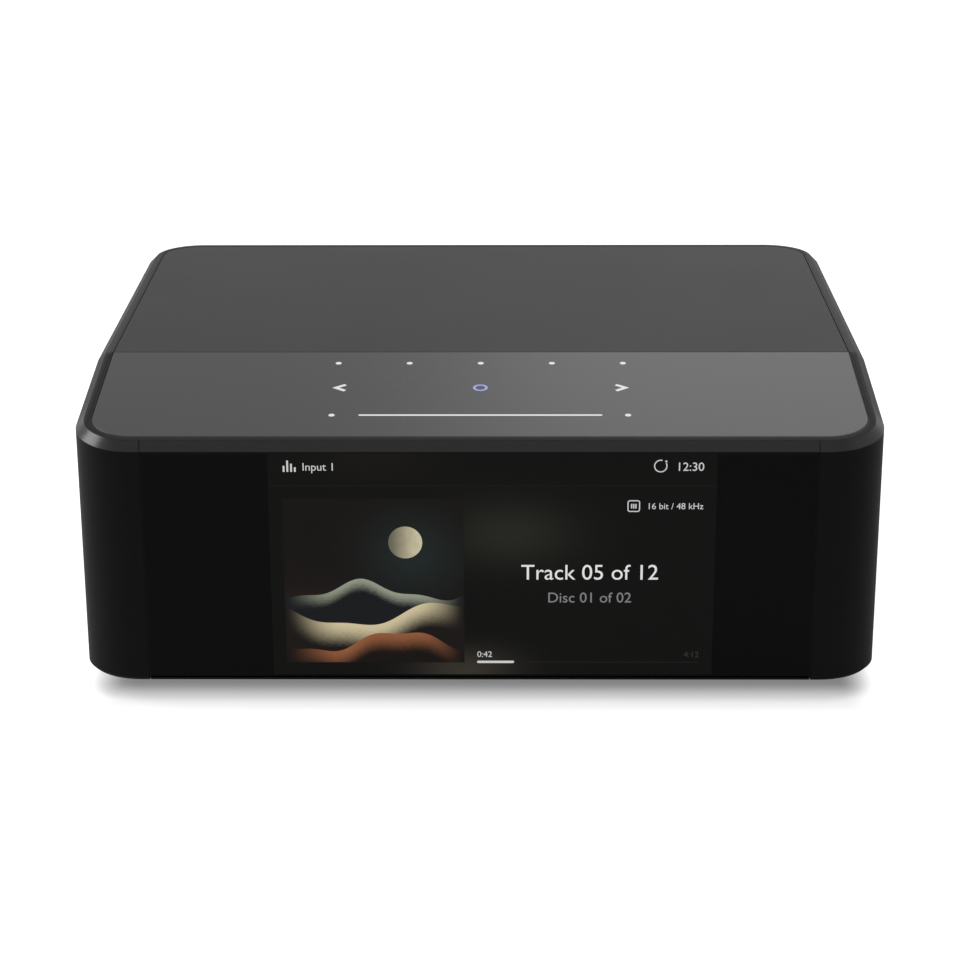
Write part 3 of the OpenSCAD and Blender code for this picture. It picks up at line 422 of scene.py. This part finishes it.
dress(black_paint, "rear_panel")
white_ink = finish("white_ink", screen_ink)
socket_groups = [(-37, 38.4, 17.4, 37.7), (40.2, 86, 17.4, 37.7), (26.5, 77.6, 43.2, 61)]
printed = [quad for x0, x1, z0, z1 in socket_groups for quad in edging(-x1, z0, -x0, z1, 1.6, 0.25)]
inlay("printed_outlines", printed, BACK, INK, white_ink)
socket_tops = [(-74, 34.6), (-27, 33.6), (-6, 27.2), (15, 26.2), (32, 23.6), (47, 30.4), (63, 33.6),
               (73, 25.9), (81.5, 25.9), (81.5, 49.6), (34, 57), (52, 57), (70, 57), (-26, 71), (6, 71)]
numbers = [(str(i + 1), 2.2, -x, z, "CENTER") for i, (x, z) in enumerate(socket_tops)]
words("printed_numbers", numbers, BACK, INK, white_ink)


# Rear sockets: stamped shells and black moulded bodies soldered to the boards behind the panel,
# with sprung gilt contacts, and turned gilt phono shells that stand out at the back.

gilt = finish("gilt", plated("#e2bd6b", "#c2963f", 0.16))
dress(black_nylon, "power_inlet", "optical_jack", "optical_shutter", "mini_jacks", "socket_tongues",
      "xlr_housings")
dress(shield_steel, "lan_jack", "usb_a_port", "usb_c_port", "hdmi_port", "inlet_pins")
dress(gilt, "rca_shells", "xlr_pins")


def phono_core(place):
    """Orange for the lower socket, and white, red and black along the row above it."""
    across, height, fine = along(place, "X"), along(place, "Z"), grain(place, 2600, 2)
    right, digital = eased(across, 0.0425, 0.0435), 1 - eased(height, 0.035, 0.04)
    sub = eased(across, 0.0605, 0.0615)
    analogue = mixed(sub, mixed(right, tone("#d8d6d0"), tone("#a3231f")), tone("#1a1a1c"))
    return {
        "Base Color": mixed(digital, analogue, tone("#b9651c")),
        "Roughness": 0.36 + 0.14 * fine,
        "Normal": relief(fine, 0.2, 0.00003),
    }


dress(finish("phono_core", phono_core), "rca_cores")


def new_tree(name, inputs):
    """An empty tree that works on an object's points, with these inputs."""
    tree = bpy.data.node_groups.new(name, "GeometryNodeTree")
    tree.interface.new_socket("Geometry", in_out="OUTPUT", socket_type="NodeSocketGeometry")
    for label, kind in [("Geometry", "Geometry")] + inputs:
        tree.interface.new_socket(label, in_out="INPUT", socket_type="NodeSocket" + kind)
    start = Wire(tree)
    return tree, lambda label: start.add("NodeGroupInput", {}, {}, label)


def repeat_on_points(given, shape):
    """Ends a tree: the shape stands on every point, turned as asked, as plain faces in one finish."""
    copies = shape.add("GeometryNodeInstanceOnPoints", {}, {
        "Points": given("Geometry"), "Instance": shape, "Rotation": given("Turn")})
    faces = shape.add("GeometryNodeRealizeInstances", {}, {"Geometry": copies})
    done = shape.add("GeometryNodeSetMaterial", {}, {"Geometry": faces, "Material": given("Finish")})
    shape.add("NodeGroupOutput", {}, {"Geometry": done}, None)


def grow(name, points, tree, sizes):
    """Runs a tree on points given in millimetres, and keeps the result as a plain mesh."""
    mesh = bpy.data.meshes.new(name)
    mesh.from_pydata([[c * MM for c in p] for p in points], [], [])
    holder = bpy.data.objects.new(name, mesh)
    modifier = holder.modifiers.new("grow", "NODES")
    modifier.node_group = tree
    for item in tree.interface.items_tree:
        if item.in_out == "INPUT" and item.name in sizes:
            modifier[item.identifier] = sizes[item.name]
    bpy.context.scene.collection.objects.link(holder)
    grown = bpy.data.meshes.new_from_object(holder.evaluated_get(bpy.context.evaluated_depsgraph_get()))
    bpy.data.objects.remove(holder)
    settle(name, grown, sizes["Finish"])


leaf_tree, given = new_tree("contact_leaf", [
    ("Turn", "Vector"), ("Middle", "Vector"), ("End", "Vector"), ("Width", "Float"),
    ("Thickness", "Float"), ("Finish", "Material")])
spine = given("Middle").add("GeometryNodeCurveQuadraticBezier", {}, {
    "Resolution": 6, "Start": (0, 0, 0), "Middle": given("Middle"), "End": given("End")})
section = spine.add("GeometryNodeCurvePrimitiveQuadrilateral", {}, {
    "Width": given("Width"), "Height": given("Thickness")})
repeat_on_points(given, spine.add("GeometryNodeCurveToMesh", {}, {
    "Curve": spine, "Profile Curve": section, "Fill Caps": True}))
# Name, middle of the row, count, pitch, width, thickness, and where a leaf bends and ends from its start
contact_rows = [
    ("lan_contacts", (-27, 87.2, 21.25), 8, 1.02, 0.4, 0.35, (0, -4, 0.2), (0, -8, 3.6)),
    ("data_contacts", (-6, 86.6, 22.32), 4, 2.4, 1.2, 0.2, (0, -3.5, -0.35), (0, -7.5, 0)),
    ("video_contacts_upper", (15, 86.8, 22.36), 10, 0.96, 0.42, 0.16, (0, -3, 0.12), (0, -6.5, 0)),
    ("video_contacts_lower", (15, 86.8, 21.24), 9, 0.96, 0.42, 0.16, (0, -3, -0.12), (0, -6.5, 0)),
    ("small_data_contacts_upper", (32, 87, 20.63), 12, 0.5, 0.24, 0.12, (0, -2.5, 0.06), (0, -5, 0)),
    ("small_data_contacts_lower", (32, 87, 19.87), 12, 0.5, 0.24, 0.12, (0, -2.5, -0.06), (0, -5, 0)),
]
for name, (x, y, z), count, pitch, width, thickness, middle, end in contact_rows:
    starts = [(x + (i - (count - 1) / 2) * pitch, y, z) for i in range(count)]
    grow(name, starts, leaf_tree, {
        "Turn": (0, 0, 0), "Middle": [c * MM for c in middle], "End": [c * MM for c in end],
        "Width": width * MM, "Thickness": thickness * MM, "Finish": gilt})

ring_tree, given = new_tree("turned_ring", [
    ("Turn", "Vector"), ("Radius", "Float"), ("Width", "Float"), ("Length", "Float"), ("Finish", "Material")])
circle = given("Radius").add("GeometryNodeCurvePrimitiveCircle", {}, {
    "Resolution": 48, "Radius": given("Radius")})
section = circle.add("GeometryNodeCurvePrimitiveQuadrilateral", {}, {
    "Width": given("Width"), "Height": given("Length")})
section = circle.add("GeometryNodeFilletCurve", {"mode": "POLY"}, {
    "Curve": section, "Count": 3, "Radius": given("Width") * 0.35})
repeat_on_points(given, circle.add("GeometryNodeCurveToMesh", {}, {
    "Curve": circle, "Profile Curve": section}))

phono_places = [(63, 26.6), (34, 50.2), (52, 50.2), (70, 50.2)]
mini_places = [(73, 21.6), (81.5, 21.6), (81.5, 45.2)]
balanced_places = [(-26, 55.2), (6, 55.2)]
to_rear = (math.pi / 2, 0, 0)
nickel = finish("bright_nickel", plated("#dcdde0", "#b4b6ba", 0.14))
grow("phono_sleeves", [(x, 95.6, z) for x, z in phono_places], ring_tree, {
    "Turn": to_rear, "Radius": 1.45 * MM, "Width": 0.36 * MM, "Length": 0.9 * MM, "Finish": gilt})
grow("mini_rings", [(x, 88.4, z) for x, z in mini_places], ring_tree, {
    "Turn": to_rear, "Radius": 2.25 * MM, "Width": 0.7 * MM, "Length": 0.5 * MM, "Finish": nickel})
grow("balanced_rims", [(x, 89.1, z) for x, z in balanced_places], ring_tree, {
    "Turn": to_rear, "Radius": 9.3 * MM, "Width": 0.9 * MM, "Length": 1.0 * MM, "Finish": black_nylon})

head_tree, given = new_tree("screw_head", [
    ("Turn", "Vector"), ("Radius", "Float"), ("Height", "Float"), ("Finish", "Material")])
dome = given("Radius").add("GeometryNodeMeshCone", {}, {
    "Vertices": 32, "Radius Top": given("Radius") * 0.72, "Radius Bottom": given("Radius"),
    "Depth": given("Height")}, "Mesh")
socket = dome.add("GeometryNodeMeshCylinder", {}, {
    "Vertices": 6, "Radius": given("Radius") * 0.42, "Depth": given("Height") * 1.2}, "Mesh")
lift = dome.add("ShaderNodeCombineXYZ", {}, {"Z": given("Height") * 0.9})
socket = dome.add("GeometryNodeTransform", {}, {"Geometry": socket, "Translation": lift})
repeat_on_points(given, dome.add("GeometryNodeMeshBoolean", {"operation": "DIFFERENCE"}, {
    "Mesh 1": dome, "Mesh 2": socket}, "Mesh"))
screw_corners = ((-9.6, 11.6), (9.6, -11.6))
screw_places = [(x + dx, 89.05, z + dz) for x, z in balanced_places for dx, dz in screw_corners]
grow("balanced_screws", screw_places, head_tree, {
    "Turn": (-math.pi / 2, 0, 0), "Radius": 2.4 * MM, "Height": 1.0 * MM, "Finish": oxide})


# Housing: one wraparound wall, moulded in satin black with a fine spark texture, with a bevelled
# rim all round. A headphone socket opens in each side, behind a bright turned ring.

CREASE, TOP, TILT = -0.0389, 0.084, math.radians(8.2)


def under_top(place):
    """How far a place is ahead of the crease, and how far under the top surface."""
    ahead = place.maths("MAXIMUM", CREASE - along(place, "Y"), 0.0)
    return ahead, TOP - ahead * math.tan(TILT) - along(place, "Z")


def housing_finish(place):
    """Satin on the walls and the flat rim, paler and smoother on the bevel, most at the front corners."""
    fine, cloud = grain(place, 4200, 2), grain(place, 22, 3)
    ahead, depth = under_top(place)
    bevel = eased(depth, 0.00002, 0.00015) * (1 - eased(depth, 0.0023, 0.0026))
    flat = 1 - eased(depth, 0.00002, 0.0001)
    wall = mixed(cloud * 0.6 + fine * 0.4, tone("#151516"), tone("#1a1a1b"))
    aside = place.maths("ABSOLUTE", along(place, "X"), 0.0)
    # Painted light and shade: the flat rim is painted lighter at the rear and the sides and darker along the
    # front.
    rim = mixed(eased(ahead, 0.0, 0.002), tone("#303031"),
                mixed(eased(aside, 0.1064, 0.1076), tone("#121213"), tone("#262627")))
    handled = 0.12 + 0.2 * eased(ahead, 0.03, 0.045)
    corner = eased(ahead, 0.038, 0.046) * eased(aside, 0.096, 0.102)
    return {
        "Base Color": mixed(bevel, mixed(flat, wall, rim), tone("#2b2b2c")),
        "Roughness": 0.52 + 0.05 * fine + 0.04 * cloud - handled * bevel,
        "Specular IOR Level": 0.065,
        "Coat Weight": 0.3 * bevel * corner,
        "Coat Roughness": 0.22,
        "Normal": relief(fine, 0.3, 0.00003),
    }


satin_black = finish("satin_black", housing_finish)
dress(satin_black, "side_shell")
dress(black_nylon, "headphone_jacks")
grow("headphone_rings", [(-109.55, -62.5, 25.1), (109.55, -62.5, 25.1)], ring_tree, {
    "Turn": (0, math.pi / 2, 0), "Radius": 4.2 * MM, "Width": 1.2 * MM, "Length": 0.7 * MM, "Finish": nickel})


# Front frame and display: a moulded frame carries the glass on foam tape, with dark seals pressed
# into the seams. The display is clamped behind the glass by a steel bracket on two foam pads, and
# plated screws hold the bracket and the frame.

def foam(place):
    cells = place.add("ShaderNodeTexVoronoi", {}, {"Vector": place, "Scale": 2200}, "Distance")
    soft = grain(place, 120, 3)
    return {
        "Base Color": mixed(cells * 0.7 + soft * 0.3, tone("#131314"), tone("#2c2c2e")),
        "Roughness": 0.85 + 0.1 * soft,
        "Normal": relief(cells, 0.6, 0.0001),
    }


def polariser(place):
    film = grain(place, 30, 3)
    return {
        "Base Color": mixed(film, tone("#0a0a0c"), tone("#131317")),
        "Roughness": 0.12 + 0.1 * film,
        "Specular IOR Level": 0.4,
    }


def black_glass(place):
    smear, dust = grain(place, 14, 4), grain(place, 900, 2)
    return {
        "Base Color": mixed(smear, tone("#080808"), tone("#0b0b0b")),
        "Roughness": 0.1 + 0.06 * smear + 0.04 * eased(dust, 0.62, 0.75),
        "Specular IOR Level": 0.055,
    }


dress(satin_black, "front_bezel")
dress(zinc, "front_screws", "bracket_screws")
dress(shield_steel, "lcd_bracket")
seal = finish("seam_seal", moulded("#0e0e0f", "#131314", 0.5, 0.06))
UPRIGHT = Matrix.Diagonal((MM, MM, MM, 1))
ACROSS = Matrix(((0, 0, MM, 0), (MM, 0, 0, 0), (0, MM, 0, 0), (0, 0, 0, 1)))
glass_seal = [(90.3, -96.48), (90.98, -96.48), (90.98, -95.3), (90.72, -95.3), (90.72, -96.06)]
top_seal = [(-96.48, 72.74), (-96.48, 73.25), (-95.3, 73.25), (-95.3, 73.13), (-96.08, 73.13)]
rim_seal = [(-96.4, 73.26), (-94.44, 75.86), (-93.12, 76.05), (-93.12, 75), (-94, 74.9), (-95.3, 73.26)]
for name, way in (("left", -1), ("right", 1)):
    side = sorted((way * 90.72, way * 90.98))
    outline = [(way * x, y) for x, y in glass_seal]
    inlay("glass_seal_" + name, [outline], UPRIGHT, (7.9, 73.24), seal)
    inlay("rim_seal_" + name, [rim_seal], ACROSS, side, seal)
inlay("glass_seal_top", [top_seal], ACROSS, (-90.3, 90.3), seal)
foam_tape = finish("foam_tape", foam)
dress(foam_tape, "glass_tape", "lcd_foam")
dress(finish("polariser", polariser), "lcd_module")
dress(finish("black_glass", black_glass), "front_glass")


# Display picture: the lit pixels seen through the glass, as thin layers on its face. A dark ground
# with a soft coloured glow carries a cover picture, two centred lines, a header and a progress bar.

FRONT_FACE = -0.0965
FRONT = Matrix(((MM, 0, 0, 0), (0, 0, -MM, FRONT_FACE), (0, MM, 0, 0), (0, 0, 0, 1)))
GROUND, ITEM, DETAIL = (-0.01, 0.01), (0.0, 0.02), (0.0, 0.03)
SCREEN = (-56.6, 8.7, 63.65, 73.05)


def oblong(x0, y0, x1, y1):
    return [(x0, y0), (x1, y0), (x1, y1), (x0, y1)]


def lit(colour):
    """A black surface that shines with a colour, such as a pixel behind glass."""
    return {"Base Color": tone("#070707"), "Roughness": 0.3, "Specular IOR Level": 0.055,
            "Emission Color": colour, "Emission Strength": 1.0}


def glow(place, x, z, wide, high):
    """1 at a place on the front, fading away over these distances, all in millimetres."""
    dx, dz = along(place, "X") * (1000 / wide) - x / wide, along(place, "Z") * (1000 / high) - z / high
    return math.exp(-1) ** (dx * dx + dz * dz)


def screen_ground(place):
    colour = mixed(grain(place, 60, 3), tone("#090908"), tone("#0c0c0b"))
    colour = mixed(glow(place, 8, 50, 17, 9), colour, tone("#22231d"))
    colour = mixed(glow(place, -4, 10, 13, 6), colour, tone("#332f29"))
    colour = mixed(glow(place, -28, 72, 16, 8), colour, tone("#13110e"))
    return lit(colour)


def pixels(colour):
    """Lit pixels of one colour, a little uneven over the display as a real backlight is."""
    def look(place):
        dim = [c * 0.9 for c in tone(colour)[:3]] + [1]
        return lit(mixed(grain(place, 45, 2), dim, tone(colour)))
    return look


white_pixels = finish("white_pixels", pixels("#e4e4e4"))
grey_pixels = finish("grey_pixels", pixels("#808080"))
soft_pixels = finish("soft_pixels", pixels("#cfcfcf"))
dim_pixels = finish("dim_pixels", pixels("#343434"))
faint_pixels = finish("faint_pixels", pixels("#1a1a1a"))
inlay("screen_ground", [oblong(*SCREEN)], FRONT, GROUND, finish("screen_ground", screen_ground))
inlay("screen_hairline", [oblong(SCREEN[0], 63.6, SCREEN[2], 63.78)], FRONT, ITEM, faint_pixels)

bar_heights = ((-52.5, 1.7), (-51.5, 3.2), (-50.5, 2.3), (-49.5, 1.3))
bars = [oblong(x, 67.7, x + 0.5, 67.7 + height) for x, height in bar_heights]
open_ring = band(arc(48.5, 69.35, 1.5, 75, 390, 30), arc(48.5, 69.35, 1.8, 75, 390, 30), closed=False)
format_box = edging(39.8, 56.3, 43.2, 59.65, 0.7, 0.3)
format_bars = [oblong(x, 57.3, x + 0.35, 58.6) for x in (40.75, 41.32, 41.9)]
signs = bars + open_ring + format_box + format_bars + [disc(49.95, 70.65, 0.28, 12)]
inlay("screen_icons", signs, FRONT, ITEM, soft_pixels)
words("screen_header", [("Input 1", 2.25, -47.4, 68.05, "LEFT"), ("12:30", 2.45, 60.2, 68.0, "RIGHT"),
                        ("16 bit / 48 kHz", 1.8, 60.2, 57.1, "RIGHT")], FRONT, ITEM, soft_pixels)
words("screen_title", [("Track 05 of 12", 4.5, 29.95, 36.75, "CENTER")], FRONT, ITEM, white_pixels)
words("screen_subtitle", [("Disc 01 of 02", 3.05, 29.9, 30.05, "CENTER")], FRONT, ITEM, grey_pixels)
words("screen_elapsed", [("0:42", 1.75, -0.7, 13.9, "LEFT")], FRONT, ITEM, soft_pixels)
words("screen_total", [("4:12", 1.75, 60.1, 13.85, "RIGHT")], FRONT, ITEM, dim_pixels)
inlay("screen_bar_done", [rounded(-0.7, 12.08, 9.45, 12.78, 0.34)], FRONT, DETAIL, soft_pixels)
inlay("screen_bar_rest", [oblong(9.3, 12.25, 60.05, 12.55)], FRONT, ITEM, faint_pixels)


# Cover picture on the display: a plain drawing of a pale moon over three dunes, in cream, sage and
# terracotta on a dark ground, lit from the right.

ART = (-53.0, 12.3, -4.15, 60.05)


def crest(x, dune, sine):
    """Height of a dune's crest over x, both in millimetres."""
    level, swells = dune
    return level + sum(size * sine(x * rate + shift) for size, rate, shift in swells)


def picture_ground(place):
    colour = mixed(grain(place, 90, 3), tone("#110e0d"), tone("#151110"))
    colour = mixed(glow(place, -46, 19, 13, 9), colour, tone("#4a3327"))
    colour = mixed(glow(place, -18, 44, 12, 11), colour, tone("#1d2524"))
    return lit(colour)


def moonlight(place):
    seas, limb = grain(place, 420, 4), eased(along(place, "X"), -0.0255, -0.0145)
    return lit(mixed(limb, tone("#5d5a4c"), mixed(seas, tone("#b0a888"), tone("#ddd3b4"))))


def sand(dune, dark, light, reach):
    """Dune sand: bright along the crest, rippled, and falling into shadow below and towards the edges."""
    def look(place):
        x, z, ripple = along(place, "X") * 1000, along(place, "Z") * 1000, grain(place, 900, 3, (1, 1, 3.5))
        top = crest(x, dune, lambda angle: angle.maths("SINE", angle, 0.0))
        shade = eased(z + 1.6 * (ripple - 0.5), top - reach, top)
        edge = eased(x, ART[0], ART[0] + 16) * (1 - eased(x, ART[2] - 13, ART[2]))
        return lit(mixed(shade * edge, tone(dark), tone(light)))
    return look


inlay("cover_ground", [oblong(*ART)], FRONT, ITEM, finish("cover_ground", picture_ground))
inlay("cover_moon", [disc(-20, 47.5, 4.6, 48)], FRONT, DETAIL, finish("cover_moon", moonlight))
# Name, level and swells of the crest, depth of the lit band, and the colours of shade and light
dunes = [("far", (33.5, ((2.6, 0.16, 0.4), (0.9, 0.37, 1.0))), 4.2, "#15171a", "#8f9382"),
         ("middle", (26.5, ((3.4, 0.12, 2.6), (0.8, 0.31, 0.2))), 7.5, "#171312", "#c9bc98"),
         ("near", (18.5, ((3.0, 0.14, 4.6), (0.7, 0.4, 0.9))), 6.0, "#140f0e", "#8a5638")]
for step, (name, dune, reach, dark, light) in enumerate(dunes):
    xs = [ART[0] + (ART[2] - ART[0]) * i / 60 for i in range(61)]
    ridge = [(x, crest(x, dune, math.sin)) for x in xs]
    hill = band([(x, ART[1]) for x in xs], ridge, closed=False)
    lit_sand = finish("cover_dune_" + name, sand(dune, dark, light, reach))
    inlay("cover_dune_" + name, hill, FRONT, (0.0, 0.024 + 0.004 * step), lit_sand)


# Touch board, light guide and lamps: a board under the sloping panel carries small lamps, and a
# clear acrylic guide spreads their light to the marks.

def acrylic(place):
    stress = grain(place, 40, 2)
    return {
        "Base Color": mixed(stress, tone("#c9d0d4"), tone("#e2e7ea")),
        "Roughness": 0.16 + 0.12 * stress,
        "Coat Weight": 0.3,
    }


def lamp_body(place):
    resin = grain(place, 900, 2)
    return {
        "Base Color": mixed(resin, tone("#d9d4b0"), tone("#efeccf")),
        "Roughness": 0.35 + 0.15 * resin,
    }


dress(green_board, "touch_board")
dress(finish("clear_acrylic", acrylic), "light_guide")
dress(finish("lamp_body", lamp_body), "touch_leds")


# Top panels: a satin cover over the rear, snapped in by hooks under it, and a smoother touch panel
# down the slope, stuck on foam tape. Both lie flush in the rim and meet at the crease.

def touch_finish(place):
    smear, fine = grain(place, 9, 4), grain(place, 4200, 2)
    edge = eased(under_top(place)[1], 0.00003, 0.0001)
    # Painted highlight: the panel's bevelled edge is painted paler, more so towards the right.
    painted_edge_highlight = edge * eased(along(place, "X"), -0.11, 0.06)
    face = mixed(smear * 0.6 + fine * 0.4, tone("#1b1b1c"), tone("#1f1f20"))
    return {
        "Base Color": mixed(painted_edge_highlight, face, tone("#4a4a4b")),
        "Roughness": 0.25 + 0.04 * smear + 0.02 * fine + 0.4 * edge,
        "Specular IOR Level": 0.25,
        "Normal": relief(fine, 0.06, 0.00002),
    }


dress(finish("satin_cover", moulded("#1d1d1e", "#222223", 0.42, 0.055)), "rear_top_cover")
dress(finish("touch_panel", touch_finish), "touch_panel")
dress(foam_tape, "touch_tape")


# Joint round the top panels: a thin soft gasket pressed down into the gap between the panels and
# the rim, on the level rear and again down the slope.

SLOPE = Matrix(((MM, 0, 0, 0), (0, MM * math.cos(TILT), -MM * math.sin(TILT), CREASE),
                (0, MM * math.sin(TILT), MM * math.cos(TILT), TOP), (0, 0, 0, 1)))
LEVEL = Matrix(((MM, 0, 0, 0), (0, MM, 0, CREASE), (0, 0, MM, TOP), (0, 0, 0, 1)))


def joint_line(half_width, reach, r, way):
    """One side of the joint: from the crease along a side, round two corners and back."""
    turns = (arc(half_width - r, reach - r, r, 0, 90, 13), arc(r - half_width, reach - r, r, 90, 180, 13))
    return [(x, y * way) for x, y in [(half_width, 0.1)] + turns[0] + turns[1] + [(-half_width, 0.1)]]


# Painted light and shade: the rear run of the gasket is painted lighter and the front run darker, like the
# rim beside them.
rear_gasket_painted_lighter = finish("rear_gasket_painted_lighter", moulded("#29292a", "#303031", 0.6, 0.12))
front_gasket_painted_darker = finish("front_gasket_painted_darker", moulded("#1a1a1b", "#202021", 0.6, 0.08))
gaskets = [("rear", LEVEL, 124.1, 1, rear_gasket_painted_lighter), ("front", SLOPE, 54.24, -1, front_gasket_painted_darker)]
for name, plane, reach, way, gasket in gaskets:
    inner = joint_line(105.72, reach + 0.02, 12.22, way)
    outer = joint_line(106.18, reach + 0.48, 12.68, way)
    inlay("gasket_" + name, band(inner, outer, closed=False), plane, (-1.2, -0.1), gasket)


# Touch marks: lit through the panel by the guide, as thin layers on its face. Five dots stand in a
# row, two arrows and a ring in the next, and a slider between two dots in the last.

def stroke(points, width):
    """A bent line of this width, as quads."""
    sides = []
    for i, (x, y) in enumerate(points):
        before, after = points[max(i - 1, 0)], points[min(i + 1, len(points) - 1)]
        pairs = ((before, (x, y)), ((x, y), after))
        runs = [Vector((b[0] - a[0], b[1] - a[1])).normalized() for a, b in pairs if a != b]
        mean = sum(runs, Vector((0, 0))).normalized()
        reach = width / 2 / max(0.3, mean.dot(runs[0]))
        sides.append(((x - mean.y * reach, y + mean.x * reach), (x + mean.y * reach, y - mean.x * reach)))
    return band([a for a, b in sides], [b for a, b in sides], closed=False)


DOT, LINE = 0.85, 1.1
dots = [disc(x, -7.65, DOT, 24) for x in (-40.3, -20.1, 0.1, 20.3, 40.45)]
dots += [disc(x, -41.1, DOT, 24) for x in (-40.3, 40.45)]
arrows = stroke([(-37.5, -21.9), (-40.2, -23.8), (-37.5, -25.7)], LINE)
arrows += stroke([(37.85, -21.9), (40.55, -23.8), (37.85, -25.7)], LINE)
inlay("touch_marks", dots + arrows + [rounded(-33.0, -41.5, 33.45, -40.65, 0.4)], SLOPE, INK,
      finish("white_marks", pixels("#e4e4e4")))
inlay("touch_ring", band(disc(0.1, -23.8, 1.38), disc(0.1, -23.8, 2.05)), SLOPE, INK,
      finish("blue_marks", pixels("#a4a9ee")))


# Studio: a white paper floor under a broad softbox overhead, a second at the left and a third behind
# at the right. For the camera the paper glows white away from the housing and less near it, a painted
# narrow soft shadow added to the lamps' own, and the camera stands at the height and distance of the
# photograph.

def area_lamp(name, place, aim, size, power):
    """A softbox at a place, turned to face another."""
    lamp = bpy.data.lights.new(name, "AREA")
    lamp.shape, lamp.size, lamp.size_y, lamp.energy = "RECTANGLE", size[0], size[1], power
    holder = bpy.data.objects.new(name, lamp)
    holder.location = place
    holder.rotation_euler = (Vector(aim) - Vector(place)).to_track_quat("-Z", "Y").to_euler()
    bpy.context.scene.collection.objects.link(holder)


def rays(start, kind):
    """1 for rays of one kind, and 0 for the rest."""
    return start.add("ShaderNodeLightPath", {}, {}, "Is " + kind + " Ray")


def grey(level):
    return level, level, level, 1


def mirrored(start):
    """1 for what gloss or glass shows, and 0 for the rest."""
    return start.maths("MAXIMUM", rays(start, "Glossy"), rays(start, "Transmission"))


area_lamp("overhead_softbox", (0, -0.28, 1.3), (0, -0.1, 0), (1.2, 0.9), 15)
area_lamp("left_softbox", (-1.28, 0.14, 0.9), (0, 0, 0.05), (0.8, 0.4), 11)
area_lamp("rear_softbox", (0.65, 2.0, 1.75), (0, 0, 0.08), (1.5, 1.3), 7.2)

floor_mesh = bpy.data.meshes.new("floor")
floor_mesh.from_pydata([(-8, -8, 0), (8, -8, 0), (8, 8, 0), (-8, 8, 0)], [], [(0, 1, 2, 3)])
floor = bpy.data.objects.new("floor", floor_mesh)
bpy.context.scene.collection.objects.link(floor)
sweep = bpy.data.materials.new("white_sweep")
sweep.use_nodes = True
sweep.node_tree.nodes.clear()
start = Wire(sweep.node_tree)
at = start.add("ShaderNodeTexCoord", {}, {}, "Object")
straight = rays(start, "Camera")
beside = eased(start.maths("ABSOLUTE", along(at, "X") - 0.0004, 0.0), 0.1005, 0.1131)
MIDDLE, HALF_DEPTH = -0.0035, 0.093
before = start.maths("ABSOLUTE", along(at, "Y") - MIDDLE, 0.0) - HALF_DEPTH
# Painted shadow: the camera sees the paper glow least under the housing, rising over ramps in front of,
# behind and beside it.
UNDER, INNER, OUTER = 0.225, 0.455, 0.32
near = UNDER + INNER * eased(before, -0.0148, -0.0012) + OUTER * eased(before, -0.0005, 0.014)
glow_and_painted_shadow = near + (1 - near) * beside
pale = mixed(mirrored(start), grey(0.12), grey(0.9))
paper = start.add("ShaderNodeBsdfPrincipled", {}, {
    "Base Color": mixed(straight, pale, grey(0.3)),
    "Roughness": 1.0,
    "Specular IOR Level": 0.0,
    "Emission Color": mixed(glow_and_painted_shadow * straight, grey(0), grey(1)),
    "Emission Strength": 1.0,
}, "BSDF")
below = start.add("ShaderNodeNewGeometry", {}, {}, "Backfacing")
clear = start.add("ShaderNodeBsdfTransparent", {}, {})
start.add("ShaderNodeOutputMaterial", {}, {
    "Surface": start.add("ShaderNodeMixShader", {}, {0: below, 1: paper, 2: clear})}, None)
floor_mesh.materials.append(sweep)

world = bpy.data.worlds.new("studio")
bpy.context.scene.world = world
world.use_nodes = True
world.node_tree.nodes.clear()
sky = Wire(world.node_tree)
seen = sky.maths("MAXIMUM", rays(sky, "Camera"), mirrored(sky))
level = sky.add("ShaderNodeBackground", {}, {"Color": grey(1), "Strength": 0.1 + 0.9 * seen})
sky.add("ShaderNodeOutputWorld", {}, {"Surface": level}, None)

eye = bpy.data.cameras.new("camera")
eye.lens, eye.sensor_width = 92.967, 36
camera = bpy.data.objects.new("camera", eye)
camera.location = (0.006033, -0.721772, 0.286413)
heading, pitch, roll = math.radians(0.5302), math.radians(90 - 19.4667), math.radians(-0.1701)
camera.rotation_euler = (Matrix.Rotation(heading, 3, "Z") @ Matrix.Rotation(pitch, 3, "X")
                         @ Matrix.Rotation(roll, 3, "Z")).to_euler()
bpy.context.scene.collection.objects.link(camera)
bpy.context.scene.camera = camera
bpy.context.scene.view_settings.view_transform = "Standard"
